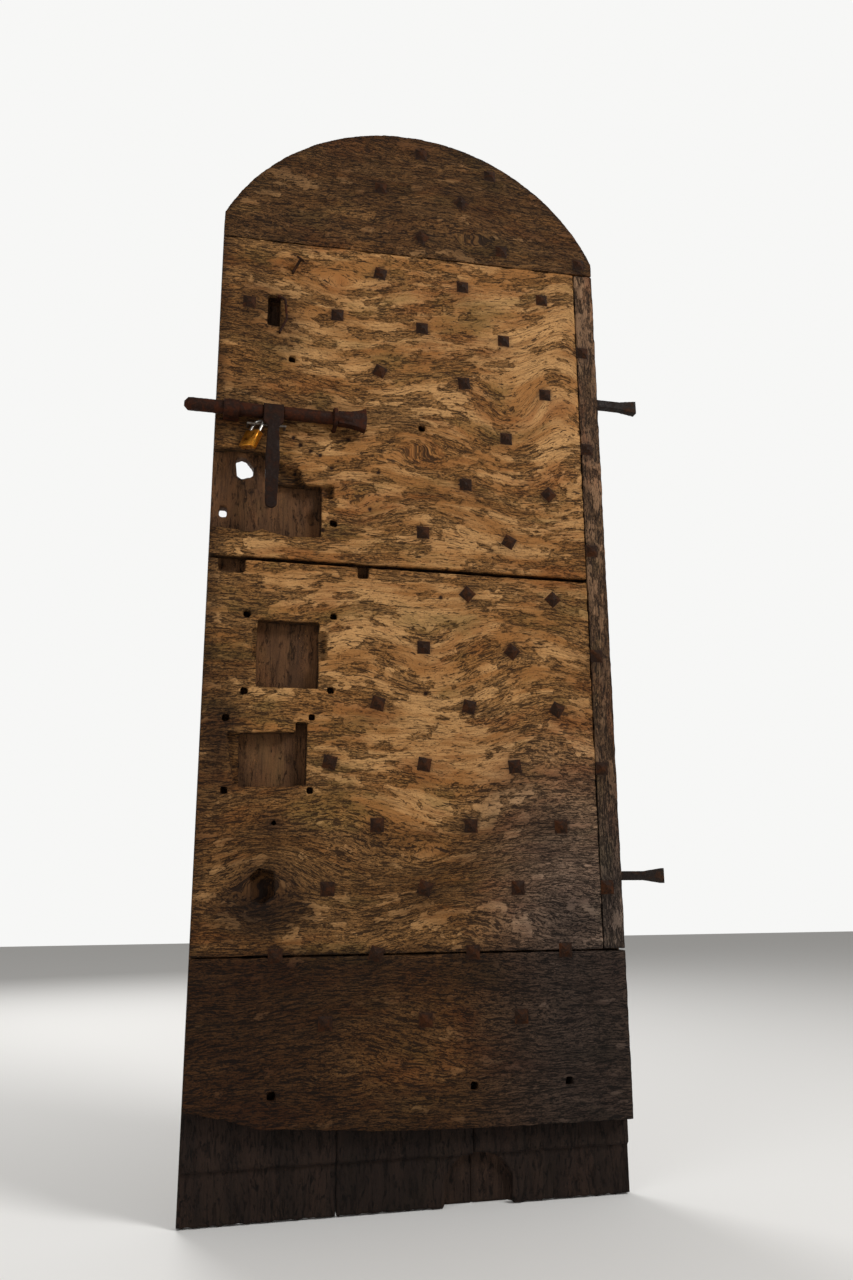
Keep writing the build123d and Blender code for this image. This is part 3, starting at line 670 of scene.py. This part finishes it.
def leaf_measure(points):
    """distance from the closing edge and height above the foot, in millimetres"""
    return (points[:, 0] - closing_edge) / MM, (points[:, 2] - leaf_foot) / MM


def flat(first, second, size, level=0.0):
    """places for noise on a flat face, with the width and height of its figure"""
    return np.column_stack([first / size[0], second / size[1], np.full(len(first), level)])


def spot(distance, height, at, up, wide, high):
    """square of each point's distance from a spot, in half widths and half heights of it"""
    return ((distance - at) / wide) ** 2 + ((height - up) / high) ** 2


def grain_flow(distance, height):
    """height of each point's grain line"""
    level = height.copy()
    for *place, lift in grain_swells:
        level -= lift * np.exp(-spot(distance, height, *place) / 2)
    level += grain_sway * roughened(flat(distance, height, grain_sway_size), seeds["grain"], 3)
    for at, up, wide, high in knots:
        reach = spot(distance, height, at, up, wide * knot_spread, high * knot_spread)
        level -= knot_pull * (height - up) * np.exp(-reach)
    return level


# Stains, as (distance, height, half width, half height, strength): dirt, with painted shadow in the narrow
# ones along the closing edge, whole surface, rust
dirt_and_shade_stains = [
    (60, 1700, 60, 160, 0.55), (40, 1450, 60, 90, 0.6), (100, 1960, 160, 120, 0.6), (400, 2120, 220, 60, 0.7),
    (30, 1250, 60, 60, 0.7), (60, 980, 50, 130, 0.5), (30, 800, 45, 120, 0.9), (110, 690, 90, 70, 0.55),
    (120, 520, 110, 80, 0.95), (400, 560, 220, 90, 0.45), (640, 640, 120, 150, 0.62),
    (700, 480, 120, 90, 0.85), (745, 900, 40, 160, 0.3), (400, 470, 300, 40, 0.5),
]
whole_stains = [
    (300, 1690, 130, 60, 0.7), (250, 1560, 80, 40, 0.6), (600, 1700, 100, 60, 1.0), (660, 1560, 70, 110, 0.8),
    (560, 1230, 110, 50, 0.5), (330, 1090, 120, 35, 0.8), (480, 1075, 110, 40, 0.8), (470, 780, 120, 90, 0.9),
    (330, 800, 80, 50, 0.7), (560, 900, 90, 70, 0.5), (420, 700, 60, 80, 0.6), (300, 960, 70, 50, 0.5),
    (620, 1120, 60, 40, 0.6),
]
rust_stains = [(130, 1640, 34, 60, 0.55), (110, 500, 60, 24, 0.7), (136, 654, 16, 12, 0.8),
               (190, 1470, 90, 20, 0.4)]
stain_blur = 1.6
whole_gone, whole_kept = 10.0, 4.0
# Dirt and painted shade: strengths from 0 to 1, places and reaches in millimetres
# The lower part and the foot are darkened partly for dirt and partly as painted shade, the light falling off
# towards the bottom.
lower_dirt_and_shade = 0.52
tide_height, tide_rise_hinge, tide_rise_closing, tide_blur = 655.0, 110.0, 40.0, 26.0
tide_hinge_side, tide_closing_side = (430, 610), (240, 120)
foot_dirt_and_shade, foot_shade_low, foot_shade_high = 0.98, 410.0, 480.0
foot_rubbed = (400, 270, 150, 110)
foot_rubbed_clean = 0.34
# Along the closing edge the wood is darkened partly for dirt and partly as painted shadow cast by the jamb.
closing_dirt_and_shadow, closing_shadow_reach = 0.7, 60.0
# A band along the arch is darkened as painted shadow.
arch_painted_shadow, arch_shadow_reach = 0.85, 46.0
head_dirt = 0.7
# Points sunk behind the front are darkened partly for dirt and partly as painted shade in the hollows.
hollow_dirt_and_shade, hollow_from, hollow_to = 0.8, 4.0, 14.0
# Rust round a nail and in a streak below it
halo_rust, halo_near, halo_far = 0.5, 13.0, 24.0
streak_rust, streak_near, streak_far = 0.16, 12.0, 60.0
# Small holes left by pins and worms
pin_holes = [(152, 1401), (166, 1387), (261, 1408), (322, 1343), (228, 1345), (305, 1264), (416, 900),
             (447, 1092), (213, 1214), (186, 1376), (205, 1368), (158, 1330), (176, 1302)]
pin_hole_reach = 3.4
pin_hole_depth = 4.5
pin_hole_dark = 2.2


def arch_circle():
    """height of the arch's centre and its radius, from the height where it springs and its crown"""
    corners = corners_of(merged_copy("closing_plank"))
    edge = corners[corners[:, 0] < closing_edge + on_face]
    rise = leaf_height - (edge[:, 2].max() - leaf_foot) / MM
    radius = (leaf_width ** 2 / 4 + rise ** 2) / (2 * rise)
    return leaf_height - radius, radius


arch_middle, arch_radius = arch_circle()
far_inside = 1000.0


def arch_reach(distance, height):
    """how far each point lies inside the arch"""
    away = arch_radius - np.hypot(distance - leaf_width / 2, height - arch_middle)
    return np.where(height > arch_middle, away, far_inside)


def stain(distance, height, stains):
    total = np.zeros(len(distance))
    for *place, strength in stains:
        total = np.maximum(total, strength * np.exp(-spot(distance, height, *place) / stain_blur))
    return total


def pin_depth(distance, height):
    depth = np.zeros(len(distance))
    for at, up in pin_holes:
        away = (distance - at) ** 2 + (height - up) ** 2
        depth = np.maximum(depth, np.exp(-away / pin_hole_reach ** 2))
    return depth


def nail_reach(points):
    """distance of each point from the nearest nail, and how far it hangs below it"""
    best = np.full(len(points), 1.0)
    below = np.zeros(len(points))
    for nail in nail_points:
        away = points[:, [0, 2]] - nail
        reach = np.hypot(away[:, 0], away[:, 1])
        nearer = reach < best
        best[nearer] = reach[nearer]
        below[nearer] = away[nearer, 1]
    return best / MM, below / MM


def dirt_and_shade_of(distance, height, depth, head):
    """dirt in the stains; dirt and painted shade over the lower part, along the closing edge and in the
    cut-outs; painted shadow along the arch
    """
    dirt_and_shade = stain(distance, height, dirt_and_shade_stains)
    # dirt and painted shade over the lower part and at the foot
    tide = (tide_height + tide_rise_hinge * smooth_step(*tide_hinge_side, distance)
            + tide_rise_closing * smooth_step(*tide_closing_side, distance))
    dirt_and_shade = np.maximum(dirt_and_shade, lower_dirt_and_shade * smooth_step(tide + tide_blur, tide - tide_blur, height))
    bare = foot_rubbed_clean * np.exp(-spot(distance, height, *foot_rubbed))
    dirt_and_shade = np.maximum(dirt_and_shade, (foot_dirt_and_shade - bare) * smooth_step(foot_shade_high, foot_shade_low, height))
    # dirt and painted shadow along the closing edge
    dirt_and_shade = np.maximum(dirt_and_shade, closing_dirt_and_shadow * smooth_step(closing_shadow_reach, 0, distance))
    # painted shadow along the arch
    dirt_and_shade = np.maximum(dirt_and_shade, arch_painted_shadow * smooth_step(arch_shadow_reach, 0, arch_reach(distance, height)))
    if head:
        dirt_and_shade = np.maximum(dirt_and_shade, head_dirt)
    # dirt and painted shade in the hollows, deeper points darker
    return np.maximum(dirt_and_shade, hollow_dirt_and_shade * smooth_step(hollow_from * MM, hollow_to * MM, depth))


def front_tone(points, head):
    """dirt with painted shade, whole surface and rust at each point of the front, and its distance from a
    nail
    """
    distance, height = leaf_measure(points)
    depth = points[:, 1] - front_face
    reach, below = nail_reach(points)
    whole = stain(distance, height, whole_stains) * smooth_step(whole_gone * MM, whole_kept * MM, depth)
    halo = halo_rust * smooth_step(halo_far, halo_near, reach)
    streak = streak_rust * smooth_step(streak_far, streak_near, reach) * (below < 0)
    rust = np.maximum(stain(distance, height, rust_stains), np.maximum(halo, streak))
    rust = np.maximum(rust, pin_hole_dark * pin_depth(distance, height))
    return np.column_stack([dirt_and_shade_of(distance, height, depth, head), whole, rust]), reach


# Erosion: figure, where it begins and ends to show, and what adds to it
erosion_size, erosion_gain = (66, 24), 0.6
erosion_range = (-0.22, 0.34)
erosion_level, whole_erosion, dirt_and_shade_erosion = 0.14, 0.75, 0.62


def erosion(along, over, dirt_and_shade, whole, seed):
    """how far the surface is weathered away, from 0 to 1"""
    patchy = roughened(flat(along, over, erosion_size, 0.5), seed, 4, erosion_gain)
    level = patchy - whole_erosion * whole + dirt_and_shade_erosion * dirt_and_shade + erosion_level
    return smooth_step(*erosion_range, level)


def rim_distance(points, on_front):
    """how far each point of the front lies from an edge of the board, in millimetres"""
    others = points[~on_front]
    tree = KDTree(len(others))
    for index, point in enumerate(others):
        tree.insert(point, index)
    tree.balance()
    away = np.full(len(points), 0.0)
    for index in np.nonzero(on_front)[0]:
        away[index] = tree.find(points[index])[2]
    return away / MM


# Wear of the boards, in millimetres: sizes along and across the grain
board_cell = 3.0
contact_slack = 0.6 * board_cell
hidden_depth = 1.0
face_slack, face_turn = 0.6, -0.7
ripple_size = (44, 9)
broad_wear_size = (160, 60)
rim_size = (22, 22)
notch_size = (26, 26, 30)
deepest_wear = 6.0
deepest_notch = 3.0
face_wear, broad_wear, worn_wear, ripple_wear = 0.5, 0.7, 1.9, 0.3
rim_wear, rim_wear_more, rim_reach, rim_reach_more = 0.8, 2.8, 2.5, 5
notch_wear, notch_wear_more = 0.7, 1.1
nail_seat, nail_seat_edge = (14, 26), (12, 22)
foot_grey, foot_grey_across, foot_grey_up = 0.75, (450, 700), (900, 480)
strip_grey = 0.2


def board_sink(along, over, distance, height, worn, reach, edge):
    """how far a face is worn in, with its rim rounded, its pin holes, and a plain seat at each nail"""
    ripples = roughened(flat(along, over, ripple_size, 0.5), seeds["ripples"], 2)
    broad = roughened(flat(along, over, broad_wear_size, 0.2), seeds["broad wear"], 3)
    rim_noise = 0.5 + 0.5 * drift(flat(distance, height, rim_size), seeds["rims"])
    rounding = rim_wear + rim_wear_more * rim_noise
    rounding *= np.exp(-edge / (rim_reach + rim_reach_more * rim_noise))
    sink = face_wear + broad_wear * broad + worn_wear * worn + (ripple_wear + worn) * ripples
    sink = smooth_step(*nail_seat, reach) * sink
    sink += rounding * smooth_step(*nail_seat_edge, reach) + pin_hole_depth * pin_depth(distance, height)
    return np.clip(sink, 0, deepest_wear)


def board_notches(points, normals, distance, height):
    """how far the sides of the board and of its cut-outs are ragged"""
    side = np.sqrt(np.clip(1 - normals[:, 1] ** 2, 0, 1))
    cells = np.column_stack([distance, height, points[:, 1] / MM]) / notch_size
    ragged = roughened(cells, seeds["notches"], 4)
    return np.clip(notch_wear + notch_wear_more * ragged, 0, deepest_notch) * side


def worn_places(points, normals, sink, notches):
    """the board's points worn in, all but those on its hidden side"""
    shown = points[:, 1] <= plank_front - hidden_depth * MM
    facing = np.clip(-normals[:, 1], 0, 1)
    places = points.copy()
    places[:, 1] += sink * MM * facing * shown
    places[:, 0] -= notches * MM * shown * normals[:, 0]
    places[:, 2] -= notches * MM * shown * normals[:, 2]
    return places


def worn_board(node, upright=False, head=False):
    """a front board with a weathered face, worn arrises and ragged cut-outs"""
    board = even_copy(node, board_cell, node + "_weathered")
    close_hidden_side(board, plank_front, contact_slack * MM)
    mesh = board.data
    points = corners_of(mesh)
    normals = normals_of(mesh)
    distance, height = leaf_measure(points)
    flow = grain_flow(distance, height)
    along, over = (height, distance) if upright else (distance, flow)
    tone, reach = front_tone(points, head)
    worn = erosion(along, over, tone[:, 0], tone[:, 1], seeds["board erosion"])
    on_front = (normals[:, 1] < face_turn) & (points[:, 1] < front_face + face_slack * MM)
    edge = rim_distance(points, on_front)
    sink = board_sink(along, over, distance, height, worn, reach, edge)
    notches = board_notches(points, normals, distance, height)
    set_corners(mesh, worn_places(points, normals, sink, notches))
    if upright:
        grain = np.column_stack([points[:, 2], points[:, 0], points[:, 1]])
    else:
        grain = np.column_stack([points[:, 0], flow * MM, points[:, 1]])
    set_vector(mesh, "grain", grain)
    set_vector(mesh, "tone", tone)
    set_number(mesh, "worn", worn)
    grey = foot_grey * smooth_step(*foot_grey_across, distance) * smooth_step(*foot_grey_up, height)
    set_number(mesh, "grey", np.maximum(grey, strip_grey if upright else 0.0))
    finished(board, node, "leaf", oak_strip if upright else oak_front)


# Planks, in millimetres
plank_cell = 4.5
plank_share = 0.62
plank_sway, plank_sway_size = 10.0, (160, 420)
plank_wear_size = (120, 12, 12)
plank_wear = 0.5
rot_heights, rot_depth, rot_depth_more, deepest_rot = (190, 20), 1.2, 1.6, 4.0
side_turn = 0.5
touching_slack, touching_wear, touching_from = 1.2, 0.3, 200
# Dirt (with painted shade on what the cut-outs show), surface left whole, wear and grey of a plank: what the
# cut-outs show, and the back
shown_foot, shown_dirt_and_shade, shown_shade_more = (240, 150), 0.3, 1.1
back_foot, back_dirt, back_dirt_more = (260, 20), 0.12, 0.8
shown_whole, back_whole = 0.2, 0.6
plank_worn = 0.3
shown_grey, shown_grey_more, back_grey = 0.1, 0.4, 0.45
hollow_middle, hollow_half_width = 515.0, 85.0
hollow_top = 115.0
joint_reach = 4.5
joint_gap = 0.3


def foot_corner(node, pick):
    """how far a plank reaches to one side at its foot"""
    corners = corners_of(merged_copy(node))
    return pick(corners[corners[:, 2] < leaf_foot + MM][:, 0])


hollow_joint = (foot_corner("middle_plank", max) + foot_corner("hinge_plank", min)) / 2


def close_hollow_joint(node, points, height):
    """keep the thin skin at the back of the rotted hollow up to the joint of its two planks"""
    side = {"middle_plank": -1, "hinge_plank": 1}.get(node, 0)
    if side:
        close = (np.abs(points[:, 0] - hollow_joint) < joint_reach * MM) & (height < hollow_top)
        points[close, 0] = hollow_joint + side * joint_gap / 2 * MM
    return points


def plank_sink(points, normals, distance, height, sway):
    """how far a plank is worn and rotted in; it keeps its joints, its contact faces and its thin skin"""
    cells = np.column_stack([height, distance + sway, points[:, 1] / MM]) / plank_wear_size
    ripples = roughened(cells, seeds["plank wear"], 3)
    rotten = smooth_step(*rot_heights, height)
    sink = (plank_wear + plank_wear * ripples + rotten * (rot_depth + rot_depth_more * ripples)) * MM
    touching = np.abs(points[:, 1] - plank_front) < touching_slack * MM
    joint = np.abs(normals[:, 0]) > side_turn
    skin = (np.abs(distance - hollow_middle) < hollow_half_width) & (height < hollow_top)
    held = touching & (height > touching_from)
    share = np.where(joint | skin, 0.0, np.where(held, touching_wear, 1.0))
    return np.clip(sink, 0, deepest_rot * MM) * share


def paint_plank(mesh, points, distance, height, sway):
    """grain, dirt and wear of a plank, greyer behind and darker at the foot; where the cut-outs show it, dirt
    and painted shade, most in the rotted hollow at the foot
    """
    on_front = points[:, 1] < (plank_front + back_face) / 2
    at_foot = smooth_step(*shown_foot, height)
    behind = back_dirt + back_dirt_more * smooth_step(*back_foot, height)
    # dirt and painted shade on the plank faces that the cut-outs show, most in the rotted hollow at the foot
    dirt_and_shade = np.where(on_front, shown_dirt_and_shade + shown_shade_more * at_foot, behind)
    whole = np.where(on_front, shown_whole, back_whole)
    set_vector(mesh, "grain", np.column_stack([points[:, 2], points[:, 0] + sway * MM, points[:, 1]]))
    set_vector(mesh, "tone", np.column_stack([dirt_and_shade, whole, np.zeros(len(points))]))
    worn = erosion(height, distance + sway, dirt_and_shade, whole, seeds["plank erosion"])
    set_number(mesh, "worn", plank_worn * worn)
    set_number(mesh, "grey", np.where(on_front, shown_grey + shown_grey_more * at_foot, back_grey))


def worn_plank(node):
    """a back plank, sawn and worn, and rotten at the foot"""
    plank = even_copy(node, plank_cell, node + "_weathered")
    modify(plank, "fewer faces", "DECIMATE", ratio=plank_share)
    mesh = plain_mesh(plank)
    points = corners_of(mesh)
    normals = normals_of(mesh)
    distance, height = leaf_measure(points)
    sway = plank_sway * drift(flat(distance, height, plank_sway_size), seeds["plank sway"])
    points -= normals * plank_sink(points, normals, distance, height, sway)[:, None]
    points = close_hollow_joint(node, points, height)
    set_corners(mesh, points)
    paint_plank(mesh, points, distance, height, sway)
    finished(plank, node, "leaf", oak_back)


# Ironwork and the padlock
dent_width = 9.0
deepest_dent = 1.4
sharp_edge = 40
padlock_rounding = 0.7


def forged(node, cell, dent, body, slot, finish, smoothing):
    """a piece in small even faces, its edges softened and its faces dented by the hammer"""
    piece = even_copy(node, cell, node + "_worked")
    modify(piece, "soften", "SMOOTH", iterations=smoothing, factor=0.5)
    mesh = plain_mesh(piece)
    if dent:
        points = corners_of(mesh)
        dents = 0.5 + 0.5 * roughened(points / MM / dent_width, seeds["dents"], 3)
        points -= normals_of(mesh) * (np.clip(dents, 0, deepest_dent) * dent * MM)[:, None]
        set_corners(mesh, points)
    finished(piece, node, body, finish)


def softened(node, width, body, finish):
    """the node's solid with its edges rounded over"""
    piece = linked(node + "_softened", merged_copy(node))
    modify(piece, "rounded edges", "BEVEL", width=width * MM, segments=3, limit_method="ANGLE",
           angle_limit=radians(sharp_edge), harden_normals=True)
    plain_mesh(piece)
    finished(piece, node, body, finish)


def plain_piece(node, finish):
    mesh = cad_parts[node].data
    mesh.materials.clear()
    mesh.materials.append(finish)


# Nails, set out again on their places, in metres
nail_sizes = {"Head width": 0.0266, "Head flat": 0.0056, "Head rise": 0.0079, "Shank": 0.006,
              "Grip": back_face - front_face, "Clench": 0.025, "Dent": -0.0016}
head_rings, head_split = 4, 2
dent_cells = 170.0
tip_sides, tip_steps = 10, 10
tip_thickness, tip_taper = 0.36, 0.35
tip_rise, tip_rise_place = 0.0026, 0.25
tip_start_depth, tip_end_rise = 0.0008, 0.0001


def point_cloud(name, places):
    """a mesh with one corner for each nail, which holds the turn of its head"""
    mesh = bpy.data.meshes.new(name)
    mesh.from_pydata([tuple(place) for place, turn in places], [], [])
    set_number(mesh, "turn", np.array([turn for place, turn in places]))
    return linked(name, mesh)


def nail_vector(tree, across=0.0, into=0.0, up=0.0):
    return tree.node("ShaderNodeCombineXYZ", {0: across, 1: into, 2: up}).outputs[0]


def joined(tree, *parts):
    both = tree.node("GeometryNodeJoinGeometry")
    for part in parts:
        tree.put(both.inputs[0], part)
    return both.outputs[0]


def nail_heads(tree, given):
    """pyramids with a flat top, in small faces, each turned as its nail is"""
    corner = 2 ** 0.5
    cone = tree.node("GeometryNodeMeshCone", {
        "Vertices": 4, "Side Segments": head_rings, "Depth": given["Head rise"],
        "Radius Top": tree.math("DIVIDE", given["Head flat"], corner),
        "Radius Bottom": tree.math("DIVIDE", given["Head width"], corner)}, fill_type="NGON")
    square = tree.node("GeometryNodeTransform", {"Geometry": cone.outputs["Mesh"],
                                                 "Rotation": (0, 0, pi / 4)})
    facing = tree.node("GeometryNodeTransform", {"Geometry": square.outputs[0],
                                                 "Rotation": (pi / 2, 0, 0)})
    split = tree.node("GeometryNodeSubdivideMesh", {"Mesh": facing.outputs[0], "Level": head_split})
    turn = tree.node("GeometryNodeInputNamedAttribute", {"Name": "turn"}, data_type="FLOAT")
    turned = nail_vector(tree, into=tree.math("MULTIPLY", turn.outputs[0], -1.0))
    values = {"Points": given["Points"], "Instance": split.outputs[0], "Rotation": turned}
    return tree.node("GeometryNodeInstanceOnPoints", values).outputs[0]


def clenched_tip(tree, given):
    """a tapering tip that leaves the back, bends over and lies along it"""
    start = nail_vector(tree, into=tree.math("ADD", given["Grip"], -tip_start_depth))
    middle = nail_vector(tree, tree.math("MULTIPLY", given["Clench"], tip_rise_place),
                         tree.math("ADD", given["Grip"], tip_rise))
    end = nail_vector(tree, given["Clench"], tree.math("ADD", given["Grip"], tip_end_rise))
    values = {"Resolution": tip_steps, "Start": start, "Middle": middle, "End": end}
    bend = tree.node("GeometryNodeCurveQuadraticBezier", values)
    along = tree.node("GeometryNodeSplineParameter").outputs["Factor"]
    taper = tree.node("ShaderNodeMapRange", {"Value": along, "To Min": 1.0, "To Max": tip_taper})
    radius = tree.math("MULTIPLY", given["Shank"], tip_thickness)
    section = tree.node("GeometryNodeCurvePrimitiveCircle", {"Resolution": tip_sides, "Radius": radius})
    values = {"Curve": bend.outputs[0], "Profile Curve": section.outputs[0],
              "Scale": taper.outputs[0], "Fill Caps": True}
    return tree.node("GeometryNodeCurveToMesh", values).outputs[0]


def nail_stems(tree, given):
    """square shanks through both layers, with their clenched tips"""
    size = nail_vector(tree, given["Shank"], given["Grip"], given["Shank"])
    shank = tree.node("GeometryNodeMeshCube", {"Size": size}).outputs["Mesh"]
    middle = nail_vector(tree, into=tree.math("MULTIPLY", given["Grip"], 0.5))
    sunk = tree.node("GeometryNodeTransform", {"Geometry": shank, "Translation": middle}).outputs[0]
    stem = joined(tree, sunk, clenched_tip(tree, given))
    values = {"Points": given["Points"], "Instance": stem}
    return tree.node("GeometryNodeInstanceOnPoints", values).outputs[0]


def dented(tree, nails, depth):
    """the nails with their faces pushed in and out by the hammer"""
    dents = tree.node("ShaderNodeTexNoise", {"Scale": dent_cells, "Detail": 3.0}).outputs[0]
    normal = tree.node("GeometryNodeInputNormal").outputs[0]
    push = tree.node("ShaderNodeVectorMath", {0: normal, "Scale": tree.math("MULTIPLY", dents, depth)},
                     operation="SCALE")
    values = {"Geometry": nails, "Offset": push.outputs[0]}
    return tree.node("GeometryNodeSetPosition", values).outputs[0]


def nail_tree(finish):
    """the tree of the nails, and its inputs by name"""
    group = bpy.data.node_groups.new("clenched nails", "GeometryNodeTree")
    group.interface.new_socket("Points", in_out="INPUT", socket_type="NodeSocketGeometry")
    sockets = {key: group.interface.new_socket(key, in_out="INPUT", socket_type="NodeSocketFloat")
               for key in nail_sizes}
    group.interface.new_socket("Nails", in_out="OUTPUT", socket_type="NodeSocketGeometry")
    tree = Tree(group)
    given = tree.node("NodeGroupInput").outputs
    both = joined(tree, nail_heads(tree, given), nail_stems(tree, given))
    real = tree.node("GeometryNodeRealizeInstances", {0: both}).outputs[0]
    place = dented(tree, real, given["Dent"])
    skin = tree.node("GeometryNodeSetMaterial", {"Geometry": place, "Material": finish})
    tree.node("NodeGroupOutput", {0: skin.outputs[0]})
    return group, sockets


def set_nails(name, places, finish):
    holder = point_cloud(name, places)
    group, sockets = nail_tree(finish)
    modifier = modify(holder, "nails", "NODES", node_group=group)
    for key, value in nail_sizes.items():
        modifier[sockets[key].identifier] = value
    plain_mesh(holder)
    seat(holder, nail_nodes, "leaf")


# Forged pieces: node, width of its small faces, depth of its dents, body, slot, finish, smoothing
forged_pieces = [
    ("bolt", 1.4, 0.8, "bolt", "bolt_iron", bolt_iron, 2),
    ("hasp", 1.3, 0.5, "hasp", "bolt_iron", hasp_iron, 2),
    ("broad_guide", 1.2, 0.6, "leaf", "bolt_iron", bolt_iron, 2),
    ("narrow_guide", 1.1, 0.4, "leaf", "bolt_iron", bolt_iron, 2),
    ("bent_rod", 0.65, 0.15, "leaf", "bolt_iron", bolt_iron, 4),
    ("bent_nail", 0.65, 0.2, "leaf", "nail_iron", nail_iron, 3),
    ("lower_strap", 2.4, 0.6, "leaf", "hinge_iron", hinge_iron, 1),
    ("upper_strap", 2.4, 0.6, "leaf", "hinge_iron", hinge_iron, 1),
    ("lower_pintle", 1.4, 0.5, "wall_pintles", "hinge_iron", hinge_iron, 1),
    ("upper_pintle", 1.4, 0.5, "wall_pintles", "hinge_iron", hinge_iron, 1),
    ("padlock_shackle", 0.45, 0, "shackle", "steel", steel, 6),
    ("padlock_staple", 0.5, 0, "leaf", "steel", worn_steel, 4),
]


def make_ironwork():
    for piece in forged_pieces:
        forged(*piece)
    plain_piece("lower_strap_nails", hinge_iron)
    plain_piece("upper_strap_nails", hinge_iron)
    softened("padlock_body", padlock_rounding, "padlock", brass)
    plain_piece("padlock_plug", brass)


# Run
make_camera()
make_world()
make_floor()
for light in lights:
    area_light(*light)
for node in ("head_board", "upper_board", "lower_board", "bottom_board"):
    worn_board(node, head=node == "head_board")
worn_board("edge_strip", upright=True)
for node in ("closing_plank", "middle_plank", "hinge_plank"):
    worn_plank(node)
set_nails("clench_nails", nails, nail_iron)
make_ironwork()

bpy.context.scene.view_settings.view_transform = "Standard"
